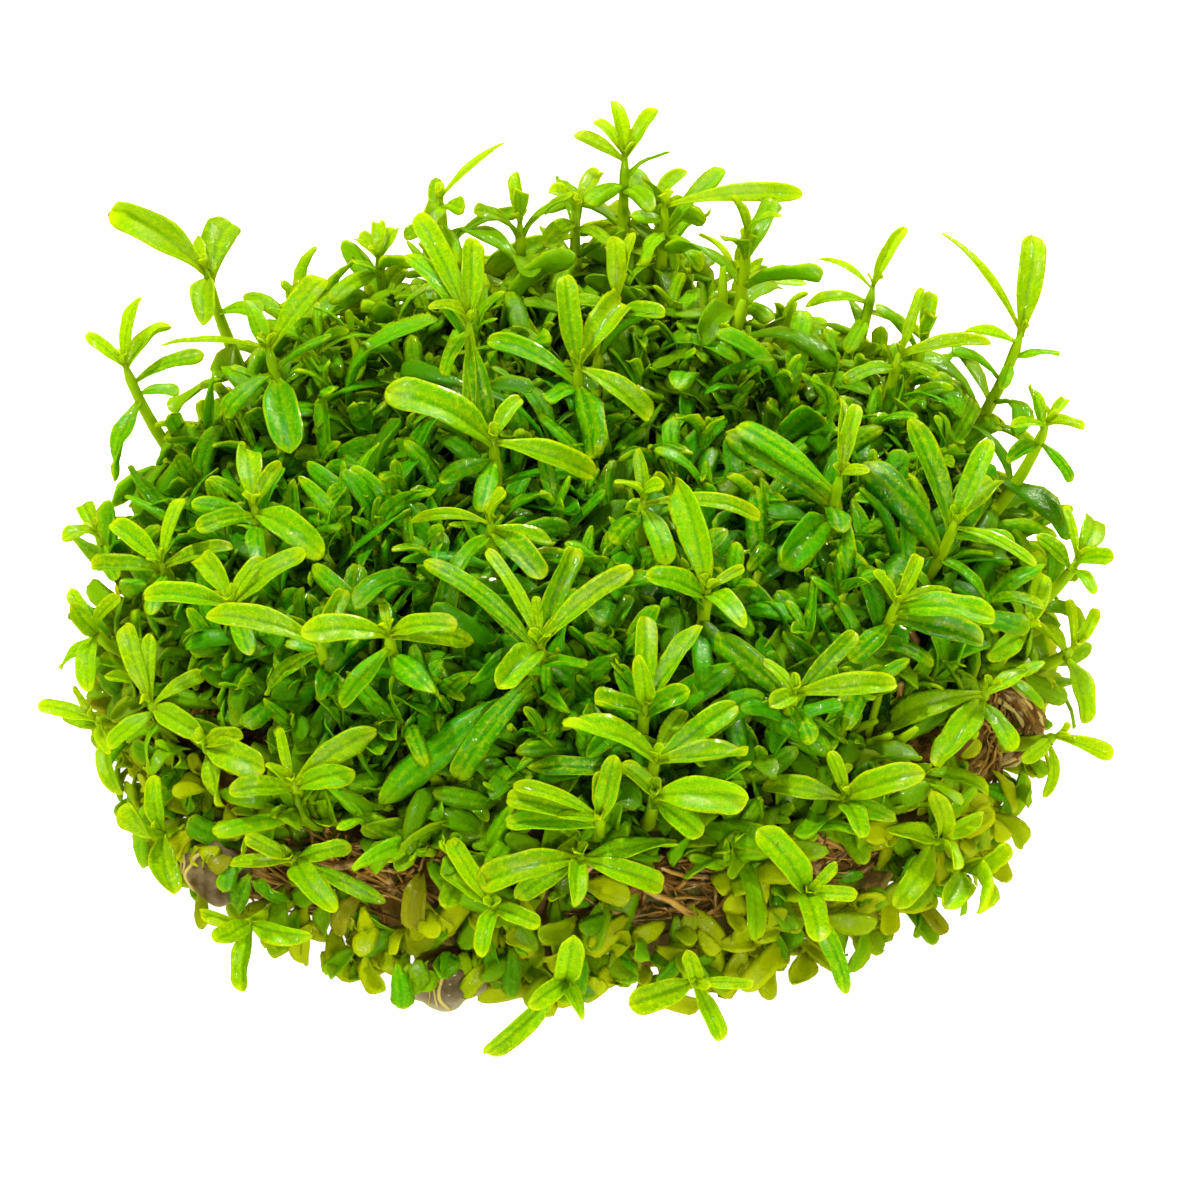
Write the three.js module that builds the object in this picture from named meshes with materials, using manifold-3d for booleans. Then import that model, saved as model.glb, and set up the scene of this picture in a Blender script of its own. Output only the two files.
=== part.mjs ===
// Green dwarf rotala: a round clump of short leafy shoots on the mat of roots and old stems it grew from.
// Millimetres, +Z up. The origin is the middle of the mat's flat underside; the front of the clump faces -Y.
import * as THREE from "three";
import { mergeVertices } from "three/addons/utils/BufferGeometryUtils.js";
import Module from "manifold-3d";

const wasm = await Module();
wasm.setup();

// Driving dimensions
const MAT_RADIUS = 30.5; // front to back; the clump is a little wider than it is deep
const WIDER = 1.07; // width over depth
const MAT_HEIGHT = 11;
const SKIRT_RADIUS = 33.8; // old leaves round the foot of the mat
const SKIRT_HEIGHT = 8.5;
const CUSHION_RADIUS = 32.5; // the mass of short shoots between the tall ones
const CUSHION_HEIGHT = 24.5;
const CANOPY_RADIUS = 34.5; // the surface that the tops of the tall shoots lie on
const CANOPY_HEIGHT = 30;
const DOME_POWER = 2.6; // 2 is an ellipse, more is a squarer shoulder
const BACK_LIFT = 5; // how much higher the clump stands at the back than at the front
const SHOULDER = 4.4; // the height over which that lift sets in at the clump's edge
const STEM_WIDTH = 1.2;
const LEAF_THICKNESS = 0.55;
const LEAF_LENGTH_OVER_WIDTH = 2.8;
const LEAF_ARCH = 0.12; // rise of a leaf's middle over its length
const GAP = 0.35; // between a piece and what carries it
const CUSHION_FOOT = MAT_HEIGHT + 3 * GAP;
const CLEAR = 1.2; // between the middles of two leaves' blades
const FLOOR_CLEAR = 0.6; // between a leaf's middle and the table

// The picture that the shoots are placed by: its own pixels, and the view it was taken from
const PICTURE_TILT = THREE.MathUtils.degToRad(37);
const PICTURE_DISTANCE = 350;
const PICTURE_SCALE = 13.35; // pixels a millimetre at the aim
const PICTURE_MIDDLE = 600;
const AIM = new THREE.Vector3(1.8, 0, 12);
const TO_VIEWER = new THREE.Vector3(0, -Math.cos(PICTURE_TILT), Math.sin(PICTURE_TILT));
const UP_PICTURE = new THREE.Vector3(0, Math.sin(PICTURE_TILT), Math.cos(PICTURE_TILT));
const EYE = AIM.clone().addScaledVector(TO_VIEWER, PICTURE_DISTANCE);

// Each tall shoot: its name, the picture point of its top, its depth behind the middle (null: it ends on the
// canopy), and its leaves, each as [picture x and y of the tip, width, distance of its foot below the top].
const SHOOTS = [
  ["back_shoot_1", [205, 268], 22, [[117, 202, 3.0, 0.5], [228, 212, 3.0, 1.5], [190, 236, 1.6, 0.2],
    [203, 322, 2.2, 1], [263, 312, 1.8, 4]]],
  ["back_shoot_2", [124, 362], 13, [[138, 296, 1.6, 0.3], [87, 333, 1.2, 0.5], [163, 320, 1.6, 0.6],
    [112, 480, 2.4, 3.5], [204, 356, 1.4, 2], [178, 390, 1.2, 3]]],
  ["back_shoot_3", [268, 345], 10, [[160, 343, 0.9, 0.3], [325, 277, 2.2, 0.5], [291, 455, 3.0, 3],
    [222, 414, 1.8, 2.5], [245, 300, 1.7, 1.2]]],
  ["back_shoot_4", [378, 255], 24, [[357, 230, 1.4, 0.3], [379, 221, 1.3, 0.1], [395, 227, 1.5, 0.5],
    [330, 300, 1.8, 1.5], [412, 265, 1.8, 1.2], [352, 262, 1.4, 2.2]]],
  ["back_shoot_5", [440, 196], 23, [[505, 142, 1.0, 0.2], [462, 206, 1.6, 1.5], [424, 224, 2.0, 1],
    [404, 238, 1.5, 2.5], [455, 262, 1.8, 2.5]]],
  ["back_shoot_6", [468, 318], 2, [[421, 213, 1.9, 0.3], [472, 238, 2.0, 0.4], [411, 251, 1.8, 1],
    [487, 432, 1.9, 1.5], [470, 420, 1.2, 1.2], [442, 372, 1.3, 1.1], [437, 302, 1.2, 0.1]]],
  ["back_shoot_7", [625, 152], 27, [[613, 100, 1.4, 0.2], [597, 119, 1.2, 0.5], [574, 135, 1.5, 0.8],
    [656, 108, 1.5, 0.6], [588, 200, 1.8, 3], [650, 200, 1.7, 3.5]]],
  ["back_shoot_8", [665, 203], 23, [[803, 196, 1.7, 0.3], [662, 141, 1.0, 0.4], [628, 216, 1.8, 1.5],
    [640, 264, 2.0, 2.5], [700, 262, 1.6, 3]]],
  ["back_shoot_9", [575, 206], 24, [[556, 188, 1.7, 0.3], [600, 165, 1.6, 0.4], [487, 270, 1.9, 2.5],
    [545, 245, 1.8, 1.5], [612, 245, 1.8, 2]]],
  ["back_shoot_10", [738, 275], 27, [[705, 230, 0.8, 0.3], [746, 232, 1.3, 0.2], [764, 259, 0.9, 0.6],
    [806, 280, 1.4, 1], [712, 300, 1.6, 2], [772, 320, 1.6, 2.5]]],
  ["back_shoot_11", [873, 286], 21, [[822, 253, 0.8, 0.3], [902, 226, 1.2, 0.2], [806, 301, 1.4, 1.5],
    [925, 335, 1.5, 2.2], [850, 345, 1.5, 3]]],
  ["back_shoot_12", [900, 352], 12, [[990, 338, 1.5, 0.4], [923, 288, 1.1, 0.4], [848, 374, 1.6, 1.5],
    [938, 378, 1.3, 1]]],
  ["back_shoot_13", [1022, 330], 15, [[944, 231, 1.1, 0.3], [1037, 236, 2.3, 0.6], [1000, 390, 1.2, 3],
    [965, 330, 1.1, 1.2], [1060, 352, 1.2, 2.5]]],
  ["right_shoot_1", [1048, 420], 5, [[1066, 398, 1.0, 0.2], [1083, 425, 1.2, 0.4], [1013, 423, 1.0, 0.6],
    [1074, 480, 1.2, 2], [1008, 462, 1.5, 2.2], [1030, 385, 1.3, 1.2]]],
  ["right_shoot_2", [1078, 560], -2, [[1097, 514, 2.3, 0.3], [1112, 556, 1.5, 0.6], [1066, 505, 0.8, 0.3],
    [1094, 592, 1.2, 1], [1038, 536, 1.5, 1.2]]],
  ["right_shoot_3", [1073, 648], -4, [[1096, 608, 1.2, 0.3], [1068, 600, 0.9, 0.2], [1086, 722, 2.2, 1],
    [1036, 622, 1.5, 0.8]]],
  ["right_shoot_4", [1056, 736], -10.5, [[1112, 758, 1.4, 0.2], [1052, 797, 1.0, 0.8],
    [1022, 760, 1.4, 0.6]]],
  ["right_shoot_5", [956, 520], null, [[997, 472, 2.2, 0.4], [991, 440, 1.8, 1], [908, 420, 2.1, 1.5],
    [1036, 566, 1.1, 0.7], [1015, 540, 1.4, 1.6], [867, 462, 3.2, 3.5], [985, 590, 1.6, 3.8]]],
  ["right_shoot_6", [840, 475], null, [[843, 398, 1.4, 0.2], [857, 404, 1.4, 0.4], [868, 470, 1.0, 0.1],
    [738, 424, 2.0, 1.8], [728, 432, 2.8, 3], [779, 566, 2.8, 4.2], [842, 528, 2.0, 3.5]]],
  ["right_shoot_7", [898, 600], null, [[919, 555, 1.2, 0.2], [951, 589, 1.0, 0.3], [991, 612, 2.6, 1.2],
    [984, 642, 2.4, 2], [872, 572, 1.3, 0.5], [850, 660, 1.8, 2.5]]],
  ["right_shoot_8", [795, 690], null, [[897, 682, 1.9, 0.4], [763, 660, 1.0, 0.2], [770, 706, 1.5, 0.6],
    [714, 629, 2.3, 1.5], [856, 632, 1.5, 1.4], [812, 742, 1.6, 1.8]]],
  ["right_shoot_9", [988, 690], null, [[936, 764, 2.6, 1], [872, 728, 2.4, 0.5], [1030, 668, 1.6, 0.5],
    [1015, 745, 1.8, 1.5]]],
  ["right_shoot_11", [846, 795], null, [[914, 771, 2.3, 0.4], [763, 782, 1.9, 0.6], [860, 838, 2.2, 1.3],
    [830, 752, 1.3, 0.3], [890, 815, 1.7, 1.6]]],
  ["right_shoot_12", [940, 838], -24, [[941, 800, 1.7, 0.3], [897, 906, 2.2, 1], [958, 862, 1.6, 0.5],
    [895, 830, 1.8, 0.6], [985, 815, 1.5, 0.8]]],
  ["right_shoot_13", [968, 868], -23, [[993, 900, 2.6, 0.6], [1008, 846, 1.8, 0.5], [945, 905, 2.2, 1]]],
  ["middle_shoot_1", [540, 642], null, [[633, 570, 1.8, 0.4], [488, 549, 1.2, 0.4], [427, 558, 1.5, 1.4],
    [575, 547, 1.9, 1.2], [500, 682, 2.3, 0.9], [564, 611, 0.9, 0.1], [536, 596, 0.8, 0.1],
    [455, 778, 2.0, 3.0], [381, 806, 2.8, 5], [467, 583, 1.6, 2.5]]],
  ["middle_shoot_2", [388, 632], null, [[472, 635, 1.7, 0.6], [452, 622, 1.8, 0.3], [310, 625, 2.2, 0.4],
    [382, 602, 0.9, 0.1], [340, 706, 1.8, 1.5], [432, 690, 2.2, 2.5]]],
  ["middle_shoot_3", [318, 640], null, [[207, 613, 2.2, 0.4], [262, 690, 1.7, 1.2], [345, 590, 1.6, 0.8]]],
  ["middle_shoot_4", [645, 704], null, [[646, 616, 1.8, 0.5], [641, 662, 1.6, 0.2], [702, 626, 1.8, 0.7],
    [598, 700, 1.8, 1.2], [688, 690, 1.7, 1.6]]],
  ["middle_shoot_5", [643, 498], null, [[625, 480, 1.2, 0.1], [660, 482, 1.2, 0.1], [761, 508, 1.4, 0.6],
    [668, 562, 1.9, 1], [638, 448, 1.2, 0.4], [612, 540, 1.8, 1.6]]],
  ["middle_shoot_6", [578, 362], null, [[622, 303, 2.6, 0.3], [651, 417, 2.1, 0.5], [595, 452, 2.8, 2.2],
    [565, 275, 2.0, 0.8], [490, 335, 1.7, 2.2], [546, 402, 1.6, 2.5]]],
  ["middle_shoot_8", [493, 437], null, [[596, 470, 2.1, 0.5], [398, 386, 3.2, 0.9], [520, 395, 1.4, 0.3],
    [480, 512, 1.9, 2], [440, 480, 1.7, 2.2]]],
  ["middle_shoot_9", [490, 520], null, [[411, 514, 1.0, 0.4], [505, 492, 1.3, 0.2], [540, 575, 2.3, 1.2],
    [554, 545, 1.6, 0.8], [455, 575, 1.7, 1.5]]],
  ["middle_shoot_10", [708, 588], null, [[677, 478, 2.5, 0.6], [744, 567, 0.9, 0.2], [738, 612, 1.9, 1],
    [648, 575, 2.0, 1.2], [705, 540, 1.3, 0.2]]],
  ["middle_shoot_11", [655, 757], null, [[748, 751, 2.1, 0.5], [684, 711, 1.5, 0.3], [580, 720, 2.4, 0.6],
    [733, 700, 2.0, 1], [528, 768, 1.7, 1.8]]],
  ["left_shoot_1", [150, 702], null, [[122, 626, 1.7, 0.3], [150, 634, 1.3, 0.3], [205, 674, 1.3, 0.4],
    [200, 734, 2.0, 0.8], [262, 768, 2.5, 1.8], [106, 745, 1.5, 1.2]]],
  ["left_shoot_2", [292, 782], null, [[376, 731, 2.1, 0.4], [280, 728, 0.9, 0.2], [265, 764, 1.2, 0.3],
    [355, 772, 1.9, 1], [230, 790, 1.8, 1]]],
  ["left_shoot_3", [253, 504], null, [[243, 438, 2.1, 0.3], [316, 545, 2.5, 1], [280, 462, 1.3, 0.4],
    [196, 530, 1.7, 1.2], [262, 562, 1.8, 2]]],
  ["left_shoot_4", [160, 562], null, [[112, 522, 1.8, 0.4], [232, 545, 1.6, 0.6], [180, 497, 1.2, 0.2],
    [92, 562, 1.5, 1], [150, 610, 1.7, 1.4]]],
  ["left_shoot_5", [232, 600], null, [[199, 553, 1.9, 0.3], [304, 552, 2.2, 0.5], [145, 590, 1.8, 0.8],
    [250, 655, 1.7, 1.4], [262, 558, 1.3, 0.2]]],
  ["left_shoot_7", [92, 626], -8, [[70, 590, 1.2, 0.3], [74, 608, 1.5, 0.8], [84, 684, 1.8, 0.8],
    [59, 668, 1.3, 1], [120, 596, 1.3, 0.3]]],
  ["left_shoot_8", [95, 718], -11, [[38, 705, 1.4, 0.3], [74, 686, 0.9, 0.1], [112, 752, 1.4, 0.6],
    [114, 796, 1.6, 1.2]]],
  ["rim_shoot_1", [160, 832], -21.5, [[177, 895, 2.3, 0.5], [126, 808, 2.1, 0.5], [150, 780, 1.6, 0.3]]],
  ["rim_shoot_2", [245, 925], -28.5, [[200, 912, 1.1, 0.2], [214, 942, 1.8, 0.5], [240, 990, 1.8, 0.8],
    [300, 938, 1.8, 0.6]]],
  ["rim_shoot_3", [292, 858], -27.5, [[247, 835, 1.4, 0.2], [229, 862, 1.2, 0.3], [320, 900, 2.2, 0.8],
    [385, 903, 1.4, 1.2], [350, 845, 1.6, 0.6]]],
  ["rim_shoot_4", [493, 905], -34, [[443, 871, 1.5, 0.4], [450, 838, 1.6, 0.2], [482, 950, 1.5, 0.8],
    [540, 925, 1.5, 0.6]]],
  ["rim_shoot_5", [580, 856], -32, [[484, 878, 2.4, 0.5], [664, 883, 1.9, 0.5], [516, 897, 1.8, 1],
    [678, 842, 2.0, 0.9], [576, 892, 1.6, 0.8]]],
  ["rim_shoot_6", [600, 816], null, [[518, 782, 1.2, 0.3], [507, 797, 1.8, 0.6], [613, 760, 1.8, 0.5],
    [600, 770, 1.3, 0.1], [506, 824, 2.1, 1.2], [559, 815, 1.1, 0.3]]],
  ["rim_shoot_7", [565, 980], -36.5, [[573, 942, 2.1, 0.2], [530, 1004, 1.7, 0.4], [579, 1013, 1.4, 0.4],
    [488, 1056, 1.7, 0.8]]],
  ["rim_shoot_8", [695, 982], -36, [[628, 1005, 2.2, 0.4], [722, 1041, 1.5, 0.5], [754, 984, 1.1, 0.2],
    [690, 958, 1.3, 0.3]]],
  ["rim_shoot_9", [808, 892], -31.5, [[837, 863, 1.0, 0.2], [857, 895, 1.3, 0.3], [820, 938, 2.2, 0.5],
    [768, 835, 2.4, 0.6], [850, 992, 1.7, 1.5]]],
];

// A dome's height over the table at a distance from the middle
function domeHeight(distance, radius, height) {
  const share = Math.min(1, distance / radius);
  return height * Math.pow(1 - Math.pow(share, DOME_POWER), 1 / DOME_POWER);
}

// How much a place stands higher than the plain dome does: nothing at the front, and most at the back
function backLift(y, height) {
  const inside = THREE.MathUtils.clamp((height - CUSHION_FOOT) / SHOULDER, 0, 1);
  return BACK_LIFT * THREE.MathUtils.smoothstep(y, 2, 22) * inside;
}

// The point under a picture pixel, at a depth behind the middle
function atDepth([px, py], depth) {
  const ray = TO_VIEWER.clone()
    .negate()
    .multiplyScalar(PICTURE_DISTANCE)
    .addScaledVector(UP_PICTURE, (PICTURE_MIDDLE - py) / PICTURE_SCALE);
  ray.x += (px - PICTURE_MIDDLE) / PICTURE_SCALE;
  return EYE.clone().addScaledVector(ray, (depth - EYE.y) / ray.y);
}

// The first point under a picture pixel that lies on the canopy, seen from the front
function onCanopy(pixel) {
  for (let depth = -CANOPY_RADIUS; depth < CANOPY_RADIUS; depth += 0.5) {
    const point = atDepth(pixel, depth);
    const distance = Math.hypot(point.x / WIDER, point.y);
    if (point.z < domeHeight(distance, CANOPY_RADIUS, CANOPY_HEIGHT)) return point;
  }
  throw new Error("no canopy under pixel " + pixel);
}

// A stem leaves the mat half way out, bends up and ends at its top.
function stemCurve(top) {
  const foot = new THREE.Vector3(top.x * 0.5, top.y * 0.5, Math.min(4, top.z));
  const bend = new THREE.Vector3(top.x * 0.92, top.y * 0.92, top.z * 0.5 + 1);
  return new THREE.QuadraticBezierCurve3(foot, bend, top);
}

// The tip of a leaf that grows from base, under a picture pixel: as far from the base as the leaf is long, on
// whichever side stands off the stem at the more usual angle, and then moved along the line of sight.
function leafTip(base, axis, pixel, length, shift) {
  const near = atDepth(pixel, base.y);
  const sight = near.clone().sub(EYE).normalize();
  near.addScaledVector(sight, -sight.dot(near.clone().sub(base)));
  const across = near.distanceTo(base);
  const along = Math.sqrt(Math.max(0, length * length - across * across));
  const usual = Math.cos(THREE.MathUtils.degToRad(60));
  const sides = [-along, along].map((step) => {
    const tip = near.clone().addScaledVector(sight, step);
    const lean = tip.clone().sub(base).normalize().dot(axis);
    return { tip, off: Math.abs(lean - usual) };
  });
  const best = sides[0].off <= sides[1].off ? sides[0].tip : sides[1].tip;
  return best.addScaledVector(sight, shift);
}

// A leaf's arched middle line and the direction across its blade
function leafFrame(base, tip, facing) {
  const run = tip.clone().sub(base);
  const across = run.clone().cross(facing).normalize();
  const normal = across.clone().cross(run).normalize();
  const middle = base.clone().add(tip).multiplyScalar(0.5);
  middle.addScaledVector(normal, 2 * LEAF_ARCH * run.length());
  return { line: new THREE.QuadraticBezierCurve3(base, middle, tip), across, normal };
}

// Half of a leaf's width at a share of its length: narrow at the foot, blunt at the tip
function halfWidth(share, width) {
  return 0.5 * width * Math.min(1, 0.25 + 1.5 * share) * (share > 0.85 ? 0.75 : 1);
}

// Points spread over a leaf's blade, for keeping leaves apart
function leafBeads({ line, across }, width) {
  const beads = [];
  for (const share of [0.2, 0.35, 0.5, 0.65, 0.8, 0.95]) {
    const point = line.getPoint(share);
    for (const side of [-0.8, 0, 0.8])
      beads.push(point.clone().addScaledVector(across, side * halfWidth(share, width)));
  }
  return beads;
}

function stemBeads(curve) {
  return curve.getSpacedPoints(24);
}

// What is placed already, so that a new leaf can be kept clear of other shoots
const placed = [];
const LONGEST_LEAF = 9;
function isClear(owner, beads, clear) {
  const close = clear * clear;
  const middle = beads[Math.floor(beads.length / 2)];
  return placed.every(
    (other) =>
      other.owner === owner ||
      other.middle.distanceTo(middle) > other.reach + LONGEST_LEAF ||
      other.beads.every((a) => beads.every((b) => a.distanceToSquared(b) > close)),
  );
}
function place(owner, beads) {
  const middle = beads[Math.floor(beads.length / 2)];
  const reach = Math.max(...beads.map((bead) => bead.distanceTo(middle)));
  placed.push({ owner, beads, middle, reach });
}

// A closed solid from its corner points and faces
function solidFrom(points, faces) {
  const vertProperties = new Float32Array(points.flatMap((point) => point.toArray()));
  const triVerts = new Uint32Array(faces.flat());
  return new wasm.Manifold(new wasm.Mesh({ numProp: 3, vertProperties, triVerts }));
}

// The solid of a three.js geometry
function solidOf(geometry) {
  const bare = geometry.clone();
  bare.deleteAttribute("normal");
  bare.deleteAttribute("uv");
  const merged = mergeVertices(bare, 1e-3);
  return new wasm.Manifold(
    new wasm.Mesh({
      numProp: 3,
      vertProperties: merged.attributes.position.array,
      triVerts: new Uint32Array(merged.index.array),
    }),
  );
}

// A leaf: it starts inside the stem, is widest past its middle and ends in a short blunt edge.
function leafSolid({ line, across, normal }, width) {
  const middle = line.getPoint(0.58);
  const end = line.getPoint(1);
  const points = [
    line.getPoint(0).addScaledVector(line.getTangent(0), -0.15 * STEM_WIDTH),
    middle.clone().addScaledVector(across, width / 2),
    middle.clone().addScaledVector(normal, LEAF_THICKNESS),
    middle.clone().addScaledVector(across, -width / 2),
    end.clone().addScaledVector(across, 0.3 * width),
    end.clone().addScaledVector(across, -0.3 * width),
  ];
  const faces = [[0, 1, 2], [0, 2, 3], [0, 3, 1], [1, 4, 2], [2, 4, 5], [2, 5, 3], [3, 5, 1], [1, 5, 4]];
  const made = solidFrom(points, faces);
  return made.volume() > 0 ? made : solidFrom(points, faces.map(([a, b, c]) => [a, c, b]));
}

// A square stem along its curve
function stemSolid(curve) {
  const section = new THREE.Shape([
    new THREE.Vector2(STEM_WIDTH / 2, 0),
    new THREE.Vector2(0, STEM_WIDTH / 2),
    new THREE.Vector2(-STEM_WIDTH / 2, 0),
    new THREE.Vector2(0, -STEM_WIDTH / 2),
  ]);
  return solidOf(new THREE.ExtrudeGeometry(section, { steps: 3, extrudePath: curve, bevelEnabled: false }));
}

// A round body from a profile of [radius, height, depth of the lumps there], raised by lift(y, height)
function lumpyBody(profile, segments, lumps, lift = () => 0) {
  const outline = profile.map(([radius, height]) => new THREE.Vector2(radius, height));
  const geometry = new THREE.LatheGeometry(outline, segments).rotateX(Math.PI / 2);
  const position = geometry.attributes.position;
  for (let i = 0; i < position.count; i++) {
    const [x, y, z] = [position.getX(i), position.getY(i), position.getZ(i)];
    const row = i % profile.length;
    const depth = profile[row][2];
    const radius = Math.hypot(x, y);
    const angle = Math.atan2(y, x);
    const wave = Math.sin(lumps * angle + 1.9 * row) * (0.7 + 0.3 * Math.cos(3 * angle + row));
    const grow = 1 + (depth * wave) / Math.max(radius, 10);
    const swell = 0.6 * depth * wave * Math.min(1, radius / 6);
    position.setXYZ(i, x * grow * WIDER, y * grow, z + swell + lift(y * grow, z));
  }
  return solidOf(geometry);
}

// The mat of roots and old stems, or with grow the same body that much larger all round
function matSolid(grow = 0) {
  const radius = MAT_RADIUS + grow;
  const height = MAT_HEIGHT + grow;
  return lumpyBody(
    [[0, -grow, 0], [radius - 2, -grow, 0], [radius, 1.5, 0], [radius, SKIRT_HEIGHT, 0],
      [radius - 2.5, height, 0.8], [0, height, 0]],
    30, 7,
  );
}

// The cushion of short shoots and leaves that stands on the mat
function cushionSolid(grow = 0) {
  const radius = CUSHION_RADIUS + grow;
  const foot = CUSHION_FOOT - grow;
  const profile = [[0, foot, 0], [radius - 3.5, foot, 0], [radius - 1, foot + 1.5 + grow, 1.6]];
  for (const share of [0.86, 0.74, 0.56, 0.32, 0])
    profile.push([radius * share, domeHeight(share, 1, CUSHION_HEIGHT + grow), share ? 1.9 : 0]);
  return lumpyBody(profile, 34, 13, backLift);
}

// A lump of the jelly that the plant was raised in, held by the roots at the mat's edge
function jellySolid({ at: [x, y, z], size: [a, b, c], turn }, grow = 0) {
  const lump = new THREE.SphereGeometry(1, 10, 7).scale(a + grow, b + grow, c + grow);
  return solidOf(lump.rotateZ(turn).translate(x, y, z));
}

const JELLIES = [
  { name: "jelly_front", at: [-8.9, -32.2, 2.8], size: [2.9, 2.2, 2.0], turn: 0.25 },
  { name: "jelly_left", at: [-25.8, -23.0, 5.0], size: [2.9, 2.1, 2.0], turn: -0.8 },
];

// The old leaves round the foot of the mat, parted where the jelly shows
function skirtSolid(grow = 0, fringe = []) {
  const inner = MAT_RADIUS + GAP;
  const outer = SKIRT_RADIUS + grow;
  const top = SKIRT_HEIGHT + grow;
  const ring = lumpyBody(
    [[inner, 2 * GAP, 0], [outer - 1, 2 * GAP, 0.4], [outer, 3, 1], [outer - 1, top, 1.5],
      [inner, top - 1, 0], [inner, 2 * GAP, 0]],
    36, 13,
  );
  const leafy = fringe.reduce((whole, leaf) => whole.add(leaf), ring);
  return JELLIES.reduce((whole, jelly) => whole.subtract(jellySolid(jelly, GAP - grow)), leafy);
}

function geometryOf(solid) {
  const { numProp, numVert, vertProperties, triVerts } = solid.getMesh();
  const position = new Float32Array(numVert * 3);
  for (let i = 0; i < numVert; i++)
    position.set(vertProperties.subarray(i * numProp, i * numProp + 3), i * 3);
  return new THREE.BufferGeometry()
    .setAttribute("position", new THREE.BufferAttribute(position, 3))
    .setIndex(new THREE.BufferAttribute(triVerts, 1));
}

// The largest body of a solid: a cut can leave crumbs
function largest(solid) {
  return solid.decompose().reduce((a, b) => (a.volume() > b.volume() ? a : b));
}

// A solid with its corners moved to a fine grid, so that none of them almost touch
function onGrid(solid, step) {
  const geometry = geometryOf(solid);
  const values = geometry.attributes.position.array;
  for (let i = 0; i < values.length; i++) values[i] = Math.round(values[i] / step) * step;
  return solidOf(geometry);
}

// Whether a solid is one body and every edge of it belongs to just two triangles
function isClosed(solid) {
  const corners = mergeVertices(geometryOf(solid), 1e-3).index.array;
  const seen = new Set();
  for (let i = 0; i < corners.length; i++) {
    const next = i % 3 === 2 ? i - 2 : i + 1;
    const edge = corners[i] + ">" + corners[next];
    if (seen.has(edge)) return false;
    seen.add(edge);
  }
  return true;
}

// One closed body without slivers, from a solid that a cut has left with some
function tidied(solid) {
  for (const step of [0.01, 0.02, 0.03, 0.005, 0.04]) {
    const body = largest(onGrid(largest(solid.simplify(3 * step)), step));
    if (isClosed(body)) return body;
  }
  throw new Error("a body stays open");
}

function meshOf(name, solid, material) {
  const geometry = geometryOf(tidied(solid));
  geometry.computeVertexNormals();
  const mesh = new THREE.Mesh(geometry, material);
  mesh.name = name;
  return mesh;
}

// The shoots at the back, which the picture doesn't show: pairs of leaves crosswise up a stem
const HIDDEN = { count: 4, pairs: [[0.2, 1.4, 65], [1.6, 2.0, 42], [3.8, 2.4, 22], [6, 2.4, 8]] };
function hiddenShoot(index) {
  const angle = THREE.MathUtils.degToRad(32 + 23 * index);
  const distance = index % 2 ? 21 : 29;
  const height = domeHeight(distance, CANOPY_RADIUS, CANOPY_HEIGHT);
  const [x, y] = [distance * Math.cos(angle) * WIDER, distance * Math.sin(angle)];
  const top = new THREE.Vector3(x, y, height + backLift(y, height) + 1 + (index % 3));
  return { name: "hidden_shoot_" + (index + 1), top, turn: 1.1 * index };
}

const stems = SHOOTS.map(([name, pixel, depth]) => {
  const top = depth === null ? onCanopy(pixel) : atDepth(pixel, depth);
  return { name, curve: stemCurve(top) };
});
const hidden = Array.from({ length: HIDDEN.count }, (_, index) => hiddenShoot(index));
for (const { name, top } of hidden) stems.push({ name, curve: stemCurve(top) });
for (const { name, curve } of stems) place(name, stemBeads(curve));

// The first of several tries at a leaf that keeps clear of the other shoots, or null
function clearLeaf(name, tries, clear = CLEAR) {
  for (const { frame, width } of tries) {
    const beads = leafBeads(frame, width);
    const lowest = Math.min(...beads.map((bead) => bead.z));
    if (lowest > FLOOR_CLEAR && isClear(name, beads, clear)) {
      place(name, beads);
      return leafSolid(frame, width);
    }
  }
  return null;
}

// The tries at a leaf whose tip lies under a picture pixel
function picturedTries(curve, [px, py, width, below]) {
  const share = Math.max(0, 1 - below / curve.getLength());
  const base = curve.getPointAt(share);
  const axis = curve.getTangentAt(share);
  const facing = axis.clone().addScaledVector(TO_VIEWER, 0.8);
  const tries = [];
  for (const size of [1, 0.9, 0.8])
    for (const shift of [0, -1, 1, -2, 2, -3, 3]) {
      const tip = leafTip(base, axis, [px, py], LEAF_LENGTH_OVER_WIDTH * width, shift);
      tip.sub(base).multiplyScalar(size).add(base);
      tries.push({ frame: leafFrame(base, tip, facing), width: width * Math.sqrt(size) });
    }
  return tries;
}

// The tries at a leaf that stands off the stem at a slope, turned about it
function pairedTries(curve, [below, width, slope], turn) {
  const share = 1 - below / curve.getLength();
  const base = curve.getPointAt(share);
  const axis = curve.getTangentAt(share);
  const side = new THREE.Vector3(1, 0, 0).cross(axis).normalize();
  const rise = THREE.MathUtils.degToRad(slope);
  return [0, 0.25, -0.25, 0.5, -0.5, 0.75, -0.75].map((more) => {
    const out = side.clone().applyAxisAngle(axis, turn + more);
    const run = out.multiplyScalar(Math.cos(rise)).addScaledVector(axis, Math.sin(rise));
    const tip = base.clone().addScaledVector(run, LEAF_LENGTH_OVER_WIDTH * width);
    return { frame: leafFrame(base, tip, axis), width };
  });
}

const leaves = new Map(stems.map(({ name }) => [name, []]));
SHOOTS.forEach(([name, , , list], index) => {
  for (const leaf of list) leaves.get(name).push(clearLeaf(name, picturedTries(stems[index].curve, leaf)));
});
hidden.forEach(({ name, turn }, index) => {
  const { curve } = stems[SHOOTS.length + index];
  HIDDEN.pairs.forEach((pair, level) => {
    for (const side of [0, Math.PI])
      leaves.get(name).push(clearLeaf(name, pairedTries(curve, pair, turn + side + (level * Math.PI) / 2)));
  });
});

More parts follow.
